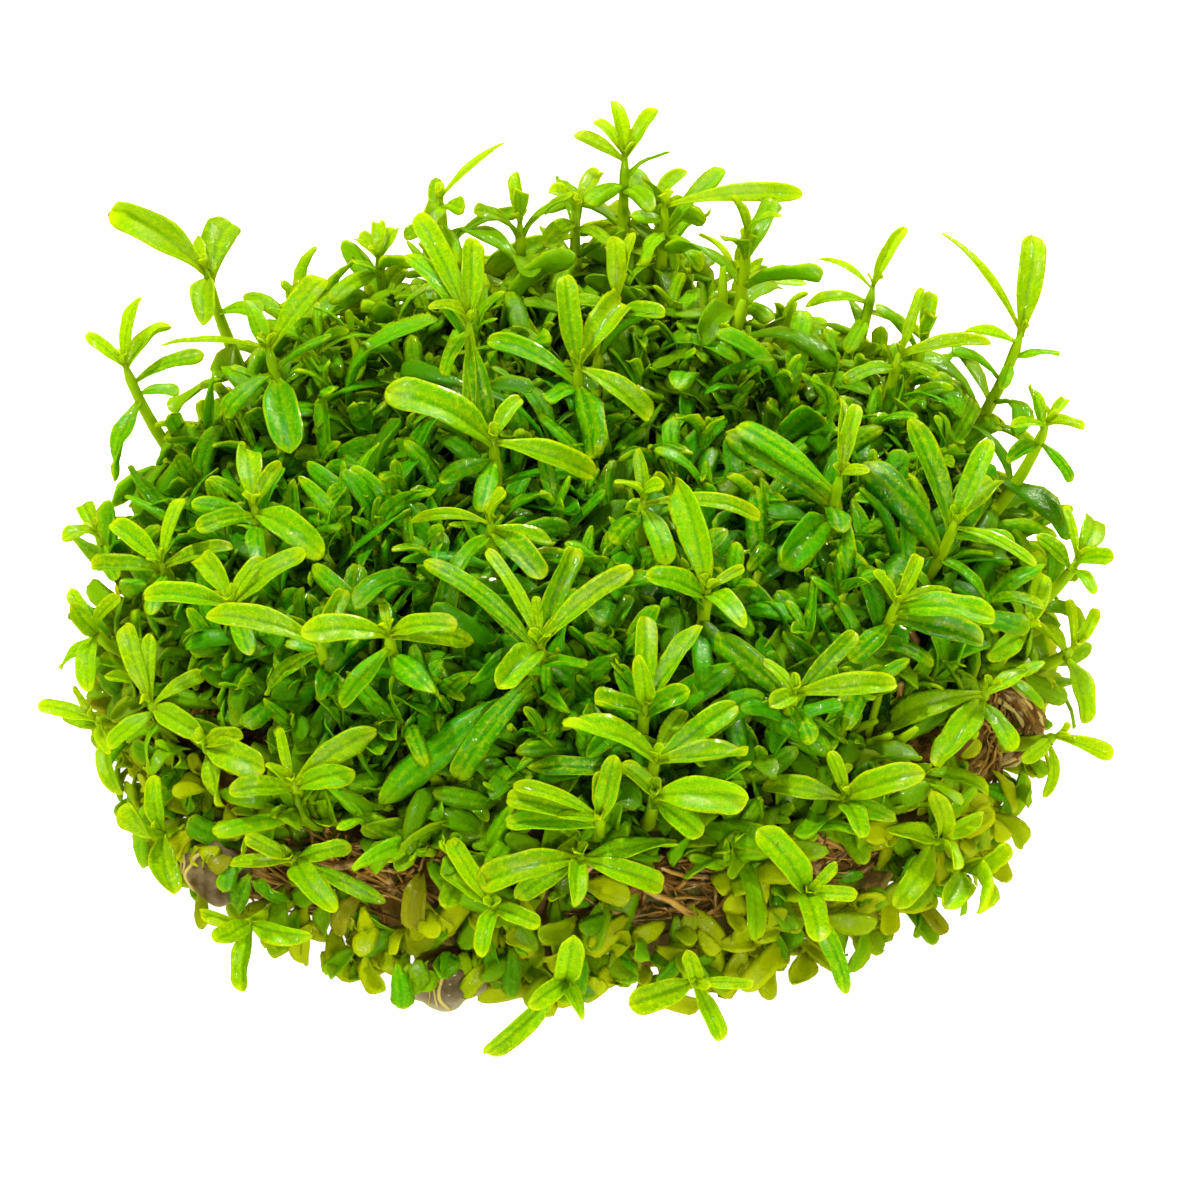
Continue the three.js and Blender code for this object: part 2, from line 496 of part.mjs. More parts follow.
// The leaf pairs that stand out of the cushion, spread evenly over it out to a share of its radius; a leaf
// that would touch a tall shoot is left out
const TUFTS = { count: 38, spread: 0.93, sunk: 1.2, width: 2.1, lean: 48, clear: 1.8 };
const GOLDEN_ANGLE = Math.PI * (3 - Math.sqrt(5));
function tuftLeaves() {
  const grown = [];
  for (let i = 0; i < TUFTS.count; i++) {
    const distance = TUFTS.spread * CUSHION_RADIUS * Math.sqrt((i + 0.5) / TUFTS.count);
    const angle = i * GOLDEN_ANGLE;
    const height = domeHeight(distance, CUSHION_RADIUS, CUSHION_HEIGHT);
    const [x, y] = [distance * Math.cos(angle) * WIDER, distance * Math.sin(angle)];
    const base = new THREE.Vector3(x, y, height + backLift(y, height) - TUFTS.sunk);
    const axis = new THREE.Vector3(0.03 * base.x, 0.03 * base.y, 1).normalize();
    const side = new THREE.Vector3(Math.cos(1.7 * i), Math.sin(1.7 * i), 0);
    const lean = THREE.MathUtils.degToRad(TUFTS.lean);
    for (const way of [-1, 1]) {
      const run = side.clone().multiplyScalar(way * Math.sin(lean)).addScaledVector(axis, Math.cos(lean));
      const tip = base.clone().addScaledVector(run, LEAF_LENGTH_OVER_WIDTH * TUFTS.width);
      const only = { frame: leafFrame(base, tip, axis), width: TUFTS.width };
      const leaf = clearLeaf("undergrowth", [only], TUFTS.clear);
      if (leaf) grown.push(leaf);
    }
  }
  return grown;
}
const tufts = tuftLeaves();

// The old leaves that stand off the skirt all round it, rooted inside its wall
const FRINGE = { count: 26, width: 1.9, length: 4.2, root: 1.2, low: 4, high: 7, droop: 0.5, clear: 1.6 };
function fringeLeaves() {
  const grown = [];
  for (let i = 0; i < FRINGE.count; i++) {
    const angle = (2 * Math.PI * (i + 0.3 * Math.sin(5 * i))) / FRINGE.count;
    const out = new THREE.Vector3(Math.cos(angle), Math.sin(angle), 0);
    const height = THREE.MathUtils.mapLinear(Math.sin(2.4 * i), -1, 1, FRINGE.low, FRINGE.high);
    const base = out.clone().multiplyScalar(SKIRT_RADIUS - FRINGE.root).setZ(height);
    base.x *= WIDER;
    const aside = new THREE.Vector3(-out.y, out.x, 0).multiplyScalar(0.7 * Math.sin(3.1 * i));
    const run = out.clone().add(aside).setZ(-FRINGE.droop).normalize();
    const tip = base.clone().addScaledVector(run, FRINGE.length);
    const only = { frame: leafFrame(base, tip, out.clone().setZ(1)), width: FRINGE.width };
    const leaf = clearLeaf("old_leaves", [only], FRINGE.clear);
    if (leaf) grown.push(leaf);
  }
  return grown;
}
const fringe = fringeLeaves();

const green = new THREE.MeshStandardMaterial({ color: 0x6fae12, roughness: 0.4, metalness: 0 });
const deepGreen = new THREE.MeshStandardMaterial({ color: 0x3f7a0c, roughness: 0.6, metalness: 0 });
const oldGreen = new THREE.MeshStandardMaterial({ color: 0x7c9418, roughness: 0.5, metalness: 0 });
const brown = new THREE.MeshStandardMaterial({ color: 0x5a4028, roughness: 0.8, metalness: 0 });
const greyBrown = new THREE.MeshStandardMaterial({ color: 0x77706a, roughness: 0.25, metalness: 0 });

const clump = new THREE.Group();
const mat = matSolid();
const cushion = tufts.reduce((whole, leaf) => whole.add(leaf), cushionSolid());
const skirt = skirtSolid(0, fringe);
clump.add(meshOf("root_mat", mat, brown));
clump.add(meshOf("undergrowth", cushion, deepGreen));
clump.add(meshOf("old_leaves", skirt, oldGreen));

let core = matSolid(GAP).add(cushionSolid(GAP)).add(skirtSolid(GAP));
for (const jelly of JELLIES) {
  clump.add(meshOf(jelly.name, jellySolid(jelly).subtract(matSolid(GAP)), greyBrown));
  core = core.add(jellySolid(jelly, GAP));
}

for (const { name, curve } of stems) {
  const grown = leaves.get(name).filter((leaf) => leaf);
  const shoot = grown.reduce((whole, leaf) => whole.add(leaf), stemSolid(curve));
  clump.add(meshOf(name, shoot.subtract(core), green));
}

export default clump;
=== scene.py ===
import math
import random

import bpy
import numpy as np
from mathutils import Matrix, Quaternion, Vector, noise
from mathutils.kdtree import KDTree


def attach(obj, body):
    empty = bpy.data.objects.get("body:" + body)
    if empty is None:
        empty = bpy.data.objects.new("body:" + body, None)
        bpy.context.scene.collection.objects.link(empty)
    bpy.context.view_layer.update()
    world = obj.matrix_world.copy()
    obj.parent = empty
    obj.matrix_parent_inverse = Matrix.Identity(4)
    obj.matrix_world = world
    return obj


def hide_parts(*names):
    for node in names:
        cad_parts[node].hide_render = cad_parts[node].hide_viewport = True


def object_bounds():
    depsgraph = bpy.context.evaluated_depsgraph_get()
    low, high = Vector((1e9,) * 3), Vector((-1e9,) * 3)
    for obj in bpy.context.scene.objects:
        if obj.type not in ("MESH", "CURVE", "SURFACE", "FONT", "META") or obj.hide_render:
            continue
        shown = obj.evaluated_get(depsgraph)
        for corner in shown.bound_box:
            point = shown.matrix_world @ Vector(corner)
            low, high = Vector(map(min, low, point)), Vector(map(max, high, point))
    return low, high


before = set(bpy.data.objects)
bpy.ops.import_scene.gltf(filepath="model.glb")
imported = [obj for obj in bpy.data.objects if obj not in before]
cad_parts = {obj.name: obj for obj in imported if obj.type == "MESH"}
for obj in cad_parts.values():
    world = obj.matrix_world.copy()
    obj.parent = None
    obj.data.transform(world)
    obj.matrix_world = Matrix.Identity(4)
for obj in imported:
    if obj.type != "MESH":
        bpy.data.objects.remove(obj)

cad_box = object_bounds()
random.seed(11)

# Everything below is worked out in millimetres, in the frame of the solids, and scaled as a mesh is made.
MM = 0.001

# Driving dimensions, as in the solids
MAT_RADIUS = 30.5
WIDER = 1.07
MAT_HEIGHT = 11.0
SKIRT_HEIGHT = 8.5
CUSHION_RADIUS = 32.5
CUSHION_HEIGHT = 24.5
CANOPY_RADIUS = 34.5
CANOPY_HEIGHT = 30.0
DOME_POWER = 2.6  # 2 is an ellipse, and more is squarer
BACK_LIFT = 5.0  # how much higher the back is
SHOULDER = 4.4  # the rise over which that lift begins
STEM_WIDTH = 1.2  # at its foot
LEAF_LENGTH_OVER_WIDTH = 2.8
LEAF_ARCH = 0.12  # over the length
CLEAR = 1.2  # the least distance between points of two shoots
FLOOR_CLEAR = 0.6
GAP = 0.35  # between the solids
CUSHION_FOOT = MAT_HEIGHT + 3 * GAP
GOLDEN_ANGLE = math.pi * (3 - math.sqrt(5))

# The view that the shoots are placed by, which is the camera's too
PICTURE_TILT = math.radians(37)
PICTURE_DISTANCE = 350.0
PICTURE_SCALE = 13.35  # pixels a millimetre at the aim
PICTURE_MIDDLE = 600.0
PICTURE_SIZE = 1200
SENSOR = 36.0
AIM = Vector((1.8, 0, 12))
TO_VIEWER = Vector((0, -math.cos(PICTURE_TILT), math.sin(PICTURE_TILT)))
UP_PICTURE = Vector((0, math.sin(PICTURE_TILT), math.cos(PICTURE_TILT)))
EYE = AIM + TO_VIEWER * PICTURE_DISTANCE

# Each tall shoot: its name, the picture point of its top, its depth behind the middle (None: it ends on the
# canopy), and its leaves, each as picture x and y of the tip, width, and distance of the foot below the top
SHOOTS = [
    ["back_shoot_1", [205, 268], 22, [[117, 202, 3, 0.5], [228, 212, 3, 1.5], [190, 236, 1.6, 0.2],
        [203, 322, 2.2, 1], [263, 312, 1.8, 4]]],
    ["back_shoot_2", [124, 362], 13, [[138, 296, 1.6, 0.3], [87, 333, 1.2, 0.5], [163, 320, 1.6, 0.6],
        [112, 480, 2.4, 3.5], [204, 356, 1.4, 2], [178, 390, 1.2, 3]]],
    ["back_shoot_3", [268, 345], 10, [[160, 343, 0.9, 0.3], [325, 277, 2.2, 0.5], [291, 455, 3, 3],
        [222, 414, 1.8, 2.5], [245, 300, 1.7, 1.2]]],
    ["back_shoot_4", [378, 255], 24, [[357, 230, 1.4, 0.3], [379, 221, 1.3, 0.1], [395, 227, 1.5, 0.5],
        [330, 300, 1.8, 1.5], [412, 265, 1.8, 1.2], [352, 262, 1.4, 2.2]]],
    ["back_shoot_5", [440, 196], 23, [[505, 142, 1, 0.2], [462, 206, 1.6, 1.5], [424, 224, 2, 1],
        [404, 238, 1.5, 2.5], [455, 262, 1.8, 2.5]]],
    ["back_shoot_6", [468, 318], 2, [[421, 213, 1.9, 0.3], [472, 238, 2, 0.4], [411, 251, 1.8, 1],
        [487, 432, 1.9, 1.5], [470, 420, 1.2, 1.2], [442, 372, 1.3, 1.1], [437, 302, 1.2, 0.1]]],
    ["back_shoot_7", [625, 152], 27, [[613, 100, 1.4, 0.2], [597, 119, 1.2, 0.5], [574, 135, 1.5, 0.8],
        [656, 108, 1.5, 0.6], [588, 200, 1.8, 3], [650, 200, 1.7, 3.5]]],
    ["back_shoot_8", [665, 203], 23, [[803, 196, 1.7, 0.3], [662, 141, 1, 0.4], [628, 216, 1.8, 1.5],
        [640, 264, 2, 2.5], [700, 262, 1.6, 3]]],
    ["back_shoot_9", [575, 206], 24, [[556, 188, 1.7, 0.3], [600, 165, 1.6, 0.4], [487, 270, 1.9, 2.5],
        [545, 245, 1.8, 1.5], [612, 245, 1.8, 2]]],
    ["back_shoot_10", [738, 275], 27, [[705, 230, 0.8, 0.3], [746, 232, 1.3, 0.2], [764, 259, 0.9, 0.6],
        [806, 280, 1.4, 1], [712, 300, 1.6, 2], [772, 320, 1.6, 2.5]]],
    ["back_shoot_11", [873, 286], 21, [[822, 253, 0.8, 0.3], [902, 226, 1.2, 0.2], [806, 301, 1.4, 1.5],
        [925, 335, 1.5, 2.2], [850, 345, 1.5, 3]]],
    ["back_shoot_12", [900, 352], 12, [[990, 338, 1.5, 0.4], [923, 288, 1.1, 0.4], [848, 374, 1.6, 1.5],
        [938, 378, 1.3, 1]]],
    ["back_shoot_13", [1022, 330], 15, [[944, 231, 1.1, 0.3], [1037, 236, 2.3, 0.6], [1000, 390, 1.2, 3],
        [965, 330, 1.1, 1.2], [1060, 352, 1.2, 2.5]]],
    ["right_shoot_1", [1048, 420], 5, [[1066, 398, 1, 0.2], [1083, 425, 1.2, 0.4], [1013, 423, 1, 0.6],
        [1074, 480, 1.2, 2], [1008, 462, 1.5, 2.2], [1030, 385, 1.3, 1.2]]],
    ["right_shoot_2", [1078, 560], -2, [[1097, 514, 2.3, 0.3], [1112, 556, 1.5, 0.6], [1066, 505, 0.8, 0.3],
        [1094, 592, 1.2, 1], [1038, 536, 1.5, 1.2]]],
    ["right_shoot_3", [1073, 648], -4, [[1096, 608, 1.2, 0.3], [1068, 600, 0.9, 0.2], [1086, 722, 2.2, 1],
        [1036, 622, 1.5, 0.8]]],
    ["right_shoot_4", [1056, 736], -10.5, [[1112, 758, 1.4, 0.2], [1052, 797, 1, 0.8],
        [1022, 760, 1.4, 0.6]]],
    ["right_shoot_5", [956, 520], None, [[997, 472, 2.2, 0.4], [991, 440, 1.8, 1], [908, 420, 2.1, 1.5],
        [1036, 566, 1.1, 0.7], [1015, 540, 1.4, 1.6], [867, 462, 3.2, 3.5], [985, 590, 1.6, 3.8]]],
    ["right_shoot_6", [840, 475], None, [[843, 398, 1.4, 0.2], [857, 404, 1.4, 0.4], [868, 470, 1, 0.1],
        [738, 424, 2, 1.8], [728, 432, 2.8, 3], [779, 566, 2.8, 4.2], [842, 528, 2, 3.5]]],
    ["right_shoot_7", [898, 600], None, [[919, 555, 1.2, 0.2], [951, 589, 1, 0.3], [991, 612, 2.6, 1.2],
        [984, 642, 2.4, 2], [872, 572, 1.3, 0.5], [850, 660, 1.8, 2.5]]],
    ["right_shoot_8", [795, 690], None, [[897, 682, 1.9, 0.4], [763, 660, 1, 0.2], [770, 706, 1.5, 0.6],
        [714, 629, 2.3, 1.5], [856, 632, 1.5, 1.4], [812, 742, 1.6, 1.8]]],
    ["right_shoot_9", [988, 690], None, [[936, 764, 2.6, 1], [872, 728, 2.4, 0.5], [1030, 668, 1.6, 0.5],
        [1015, 745, 1.8, 1.5]]],
    ["right_shoot_11", [846, 795], None, [[914, 771, 2.3, 0.4], [763, 782, 1.9, 0.6], [860, 838, 2.2, 1.3],
        [830, 752, 1.3, 0.3], [890, 815, 1.7, 1.6]]],
    ["right_shoot_12", [940, 838], -24, [[941, 800, 1.7, 0.3], [897, 906, 2.2, 1], [958, 862, 1.6, 0.5],
        [895, 830, 1.8, 0.6], [985, 815, 1.5, 0.8]]],
    ["right_shoot_13", [968, 868], -23, [[993, 900, 2.6, 0.6], [1008, 846, 1.8, 0.5], [945, 905, 2.2, 1]]],
    ["middle_shoot_1", [540, 642], None, [[633, 570, 1.8, 0.4], [488, 549, 1.2, 0.4], [427, 558, 1.5, 1.4],
        [575, 547, 1.9, 1.2], [500, 682, 2.3, 0.9], [564, 611, 0.9, 0.1], [536, 596, 0.8, 0.1],
        [455, 778, 2, 3], [381, 806, 2.8, 5], [467, 583, 1.6, 2.5]]],
    ["middle_shoot_2", [388, 632], None, [[472, 635, 1.7, 0.6], [452, 622, 1.8, 0.3], [310, 625, 2.2, 0.4],
        [382, 602, 0.9, 0.1], [340, 706, 1.8, 1.5], [432, 690, 2.2, 2.5]]],
    ["middle_shoot_3", [318, 640], None, [[207, 613, 2.2, 0.4], [262, 690, 1.7, 1.2], [345, 590, 1.6, 0.8]]],
    ["middle_shoot_4", [645, 704], None, [[646, 616, 1.8, 0.5], [641, 662, 1.6, 0.2], [702, 626, 1.8, 0.7],
        [598, 700, 1.8, 1.2], [688, 690, 1.7, 1.6]]],
    ["middle_shoot_5", [643, 498], None, [[625, 480, 1.2, 0.1], [660, 482, 1.2, 0.1], [761, 508, 1.4, 0.6],
        [668, 562, 1.9, 1], [638, 448, 1.2, 0.4], [612, 540, 1.8, 1.6]]],
    ["middle_shoot_6", [578, 362], None, [[622, 303, 2.6, 0.3], [651, 417, 2.1, 0.5], [595, 452, 2.8, 2.2],
        [565, 275, 2, 0.8], [490, 335, 1.7, 2.2], [546, 402, 1.6, 2.5]]],
    ["middle_shoot_8", [493, 437], None, [[596, 470, 2.1, 0.5], [398, 386, 3.2, 0.9], [520, 395, 1.4, 0.3],
        [480, 512, 1.9, 2], [440, 480, 1.7, 2.2]]],
    ["middle_shoot_9", [490, 520], None, [[411, 514, 1, 0.4], [505, 492, 1.3, 0.2], [540, 575, 2.3, 1.2],
        [554, 545, 1.6, 0.8], [455, 575, 1.7, 1.5]]],
    ["middle_shoot_10", [708, 588], None, [[677, 478, 2.5, 0.6], [744, 567, 0.9, 0.2], [738, 612, 1.9, 1],
        [648, 575, 2, 1.2], [705, 540, 1.3, 0.2]]],
    ["middle_shoot_11", [655, 757], None, [[748, 751, 2.1, 0.5], [684, 711, 1.5, 0.3], [580, 720, 2.4, 0.6],
        [733, 700, 2, 1], [528, 768, 1.7, 1.8]]],
    ["left_shoot_1", [150, 702], None, [[122, 626, 1.7, 0.3], [150, 634, 1.3, 0.3], [205, 674, 1.3, 0.4],
        [200, 734, 2, 0.8], [262, 768, 2.5, 1.8], [106, 745, 1.5, 1.2]]],
    ["left_shoot_2", [292, 782], None, [[376, 731, 2.1, 0.4], [280, 728, 0.9, 0.2], [265, 764, 1.2, 0.3],
        [355, 772, 1.9, 1], [230, 790, 1.8, 1]]],
    ["left_shoot_3", [253, 504], None, [[243, 438, 2.1, 0.3], [316, 545, 2.5, 1], [280, 462, 1.3, 0.4],
        [196, 530, 1.7, 1.2], [262, 562, 1.8, 2]]],
    ["left_shoot_4", [160, 562], None, [[112, 522, 1.8, 0.4], [232, 545, 1.6, 0.6], [180, 497, 1.2, 0.2],
        [92, 562, 1.5, 1], [150, 610, 1.7, 1.4]]],
    ["left_shoot_5", [232, 600], None, [[199, 553, 1.9, 0.3], [304, 552, 2.2, 0.5], [145, 590, 1.8, 0.8],
        [250, 655, 1.7, 1.4], [262, 558, 1.3, 0.2]]],
    ["left_shoot_7", [92, 626], -8, [[70, 590, 1.2, 0.3], [74, 608, 1.5, 0.8], [84, 684, 1.8, 0.8],
        [59, 668, 1.3, 1], [120, 596, 1.3, 0.3]]],
    ["left_shoot_8", [95, 718], -11, [[38, 705, 1.4, 0.3], [74, 686, 0.9, 0.1], [112, 752, 1.4, 0.6],
        [114, 796, 1.6, 1.2]]],
    ["rim_shoot_1", [160, 832], -21.5, [[177, 895, 2.3, 0.5], [126, 808, 2.1, 0.5], [150, 780, 1.6, 0.3]]],
    ["rim_shoot_2", [245, 925], -28.5, [[200, 912, 1.1, 0.2], [214, 942, 1.8, 0.5], [240, 990, 1.8, 0.8],
        [300, 938, 1.8, 0.6]]],
    ["rim_shoot_3", [292, 858], -27.5, [[247, 835, 1.4, 0.2], [229, 862, 1.2, 0.3], [320, 900, 2.2, 0.8],
        [385, 903, 1.4, 1.2], [350, 845, 1.6, 0.6]]],
    ["rim_shoot_4", [493, 905], -34, [[443, 871, 1.5, 0.4], [450, 838, 1.6, 0.2], [482, 950, 1.5, 0.8],
        [540, 925, 1.5, 0.6]]],
    ["rim_shoot_5", [580, 856], -32, [[484, 878, 2.4, 0.5], [664, 883, 1.9, 0.5], [516, 897, 1.8, 1],
        [678, 842, 2, 0.9], [576, 892, 1.6, 0.8]]],
    ["rim_shoot_6", [600, 816], None, [[518, 782, 1.2, 0.3], [507, 797, 1.8, 0.6], [613, 760, 1.8, 0.5],
        [600, 770, 1.3, 0.1], [506, 824, 2.1, 1.2], [559, 815, 1.1, 0.3]]],
    ["rim_shoot_7", [565, 980], -36.5, [[573, 942, 2.1, 0.2], [530, 1004, 1.7, 0.4], [579, 1013, 1.4, 0.4],
        [488, 1056, 1.7, 0.8]]],
    ["rim_shoot_8", [695, 982], -36, [[628, 1005, 2.2, 0.4], [722, 1041, 1.5, 0.5], [754, 984, 1.1, 0.2],
        [690, 958, 1.3, 0.3]]],
    ["rim_shoot_9", [808, 892], -31.5, [[837, 863, 1, 0.2], [857, 895, 1.3, 0.3], [820, 938, 2.2, 0.5],
        [768, 835, 2.4, 0.6], [850, 992, 1.7, 1.5]]],
]

# Shoots that are too many for nodes of their own and grow in the undergrowth, in the same form
SHORT_SHOOTS = [
    ["middle_shoot_12", [655, 793], None, [[748, 799, 2.5, 0.4], [625, 765, 1.3, 0.4], [702, 836, 1.6, 1]]],
    ["right_shoot_10", [1028, 630], None, [[1044, 573, 1.7, 0.3], [990, 656, 1.8, 1], [1005, 588, 1.3, 0.5]]],
    ["left_shoot_6", [96, 533], -1, [[66, 532, 1.4, 0.3], [82, 500, 1.4, 0.2], [120, 580, 1.5, 1.2]]],
    ["middle_shoot_7", [616, 300], 12, [[615, 237, 1.5, 0.1], [633, 232, 1, 0.1], [662, 312, 1.6, 1.5],
        [576, 300, 1.6, 1.5]]],
    ["left_shoot_9", [204, 744], None, [[262, 768, 2.3, 0.5], [240, 736, 1.4, 0.3], [218, 800, 1.7, 1]]],
]


# Places

def dome_height(distance, radius, height):
    """A dome's height over the table at a distance from the middle"""
    share = min(1.0, distance / radius)
    return height * (1 - share**DOME_POWER) ** (1 / DOME_POWER)


def lumpy(point, scale, depth):
    """Smooth noise at a place, up to about depth either way, in lumps of about the scale"""
    return depth * noise.noise(Vector(point) / scale)


def smooth(low, high, value):
    """0 below low, 1 above high, and smooth between, for one number or an array"""
    share = np.clip((value - low) / (high - low), 0, 1)
    return share * share * (3 - 2 * share)


def back_lift(y, height):
    """How much a place stands higher than the plain dome does: nothing at the front, and most at the back"""
    inside = min(1.0, max(0.0, (height - CUSHION_FOOT) / SHOULDER))
    return BACK_LIFT * smooth(2, 22, y) * inside


def from_middle(x, y):
    """A place's distance from the middle, with the clump's extra width taken out"""
    return math.hypot(x / WIDER, y)


def around(turn, radius=1.0, height=0.0):
    """The place at an angle round the clump"""
    return Vector((radius * math.cos(turn) * WIDER, radius * math.sin(turn), height))


def cushion_height(x, y):
    """The height of the undergrowth's top"""
    height = dome_height(from_middle(x, y), CUSHION_RADIUS, CUSHION_HEIGHT)
    return height + back_lift(y, height)


def at_depth(pixel, depth):
    """The point under a picture pixel, at a depth behind the middle"""
    ray = TO_VIEWER * -PICTURE_DISTANCE
    ray += UP_PICTURE * ((PICTURE_MIDDLE - pixel[1]) / PICTURE_SCALE)
    ray.x += (pixel[0] - PICTURE_MIDDLE) / PICTURE_SCALE
    return EYE + ray * ((depth - EYE.y) / ray.y)


def in_picture(point):
    """A point's place in the picture in millimetres at the aim, and its distance in front of the aim"""
    ray = point - EYE
    away = -ray.dot(TO_VIEWER)
    scale = PICTURE_DISTANCE / away
    return ray.x * scale, ray.dot(UP_PICTURE) * scale, PICTURE_DISTANCE - away


SIDE_MARGIN, TOP_MARGIN = 0.3, 0.5


def in_box(point):
    """Whether a point lies well inside the box that the solids fill"""
    low, high = (Vector(corner) / MM for corner in cad_box)
    beside = all(low[i] + SIDE_MARGIN < point[i] < high[i] - SIDE_MARGIN for i in (0, 1))
    return beside and point.z < high[2] - TOP_MARGIN


def on_canopy(pixel):
    """The first point under a picture pixel that lies on the canopy, seen from the front"""
    depth = -CANOPY_RADIUS
    while True:
        point = at_depth(pixel, depth)
        if point.z < dome_height(from_middle(point.x, point.y), CANOPY_RADIUS, CANOPY_HEIGHT):
            return point
        depth += 0.5


class Bend:
    """A curve from start to end that is pulled towards middle, with shares of its length"""

    STEPS = 100

    def __init__(self, start, middle, end):
        self.start, self.middle, self.end = start, middle, end
        steps = [self.point(i / self.STEPS) for i in range(self.STEPS + 1)]
        self.lengths = [0.0]
        for a, b in zip(steps, steps[1:]):
            self.lengths.append(self.lengths[-1] + (b - a).length)
        self.length = self.lengths[-1]

    def point(self, t):
        return self.start * (1 - t) ** 2 + self.middle * (2 * t * (1 - t)) + self.end * t**2

    def tangent(self, t):
        return ((self.middle - self.start) * (1 - t) + (self.end - self.middle) * t).normalized()

    def at(self, share):
        """The curve's own parameter at a share of its length"""
        return float(np.interp(share * self.length, self.lengths, np.linspace(0, 1, self.STEPS + 1)))


def stem_curve(top):
    """A stem leaves the mat half way out, bends up and ends at its top."""
    foot = Vector((top.x * 0.5, top.y * 0.5, min(4, top.z)))
    bend = Vector((top.x * 0.92, top.y * 0.92, top.z * 0.5 + 1))
    return Bend(foot, bend, top)


def pictured_stem(pixel, depth):
    """The stem whose top lies under a picture pixel"""
    return stem_curve(on_canopy(pixel) if depth is None else at_depth(pixel, depth))


# Places at the foot of the clump that its leaves leave bare: angle round it in degrees, half of the width,
# and the heights between which the mat shows
BARE = [(-133, 5, 1.5, 8), (-116, 7, 7, 12.5), (-79, 7, 6.5, 11), (-58, 4, 6.5, 10.5), (-16, 6, 3.5, 10.5)]


def is_bare(point):
    """Whether a point lies over a bare place"""
    turn = math.degrees(math.atan2(point.y, point.x / WIDER))
    return any(abs(turn - angle) < half and low < point.z < high for angle, half, low, high in BARE)


def bare_points():
    """Two points of the mat in each bare place, over which no leaf hangs"""
    for angle, half, low, high in BARE:
        height = (low + min(high, MAT_HEIGHT)) / 2
        for aside in (-half / 2, half / 2):
            yield around(math.radians(angle + aside), MAT_RADIUS, height)


# A knot of old root that stands out at the right of the mat
KNOT = Bend(Vector((30.5, -8, 2.5)), Vector((37.5, -9.5, 6)), Vector((30.5, -8, 10.5)))
KNOT_RADIUS = 0.7


# Leaves, as placed

class Leaf:
    """Where one leaf grows and what form it has; wild, up to 1, is how far that departs from the usual"""

    def __init__(self, base, tip, facing, width, age, wild=0.0, twists=True):
        run = tip - base
        self.base, self.tip, self.width, self.age = base, tip, width, age
        self.across = run.cross(facing).normalized()
        self.normal = self.across.cross(run).normalized()
        self.arch = LEAF_ARCH + wild * random.uniform(-0.08, 0.1)
        folded = age < 0.13 or random.random() < 0.45
        self.cup = random.uniform(0.2, 0.9) if folded else random.uniform(-0.4, 0.15)
        self.roll = random.uniform(-0.4, 0.4) * (1 + wild)
        if twists:
            self.roll += random.choice((0, 0, 0, 0.9, -0.9))
        self.curl = random.uniform(-0.03, 0.08) * (1 + wild) + random.choice((0, 0, 0, 0.1, 0.18))
        self.bow = random.uniform(-0.07, 0.07) * (0.4 + wild)
        self.taper = random.uniform(-0.25, 0.2)
        self.blunt = random.uniform(0.74, 0.9)
        self.ripple = random.uniform(0.03, 0.2)
        self.phase = random.uniform(0, 2 * math.pi)
        self.tone = random.random()

    def beads(self):
        """Points spread over the blade, which stand for it where leaves are kept apart"""
        run = self.tip - self.base
        arched = (self.base + self.tip) / 2 + self.normal * (2 * LEAF_ARCH * run.length)
        line = Bend(self.base, arched, self.tip)
        points = []
        for share in (0.2, 0.35, 0.5, 0.65, 0.8, 0.95):
            half = 0.5 * self.width * min(1, 0.25 + 1.5 * share) * (0.75 if share > 0.85 else 1)
            for side in (-0.8, 0, 0.8):
                points.append(line.point(share) + self.across * (side * half))
        return np.array(points)


def leaf_tip(base, axis, pixel, length, shift):
    """The tip of a leaf from base, under a picture pixel and as far from the base as the leaf is long"""
    near = at_depth(pixel, base.y)
    sight = (near - EYE).normalized()
    near -= sight * sight.dot(near - base)
    along = math.sqrt(max(0, length**2 - (near - base).length_squared))
    usual = math.cos(math.radians(60))
    sides = [near - sight * along, near + sight * along]
    best = min(sides, key=lambda tip: abs((tip - base).normalized().dot(axis) - usual))
    return best + sight * shift


class Sight:
    """The pictured leaves and bare places as the front view shows them, so that no other leaf hides them"""

    REACH = 0.7  # millimetres in the picture at which a bead is covered
    DEPTH = 0.4  # how far behind a bead a leaf may start to lie

    def __init__(self, leaves):
        beads = [in_picture(Vector(bead)) for leaf in leaves for bead in leaf.beads()]
        beads += [in_picture(point) for point in bare_points()]
        beads += [in_picture(KNOT.point(i / 12)) for i in range(13)]
        self.near = [bead[2] for bead in beads]
        self.tree = KDTree(len(beads))
        for index, (x, y, _) in enumerate(beads):
            self.tree.insert((x, y, 0), index)
        self.tree.balance()

    def is_free(self, leaf):
        """Whether a leaf stands in front of nothing that the view shows"""
        for bead in leaf.beads():
            x, y, near = in_picture(Vector(bead))
            for _, index, _ in self.tree.find_range((x, y, 0), self.REACH):
                if near > self.near[index] - self.DEPTH:
                    return False
        return True


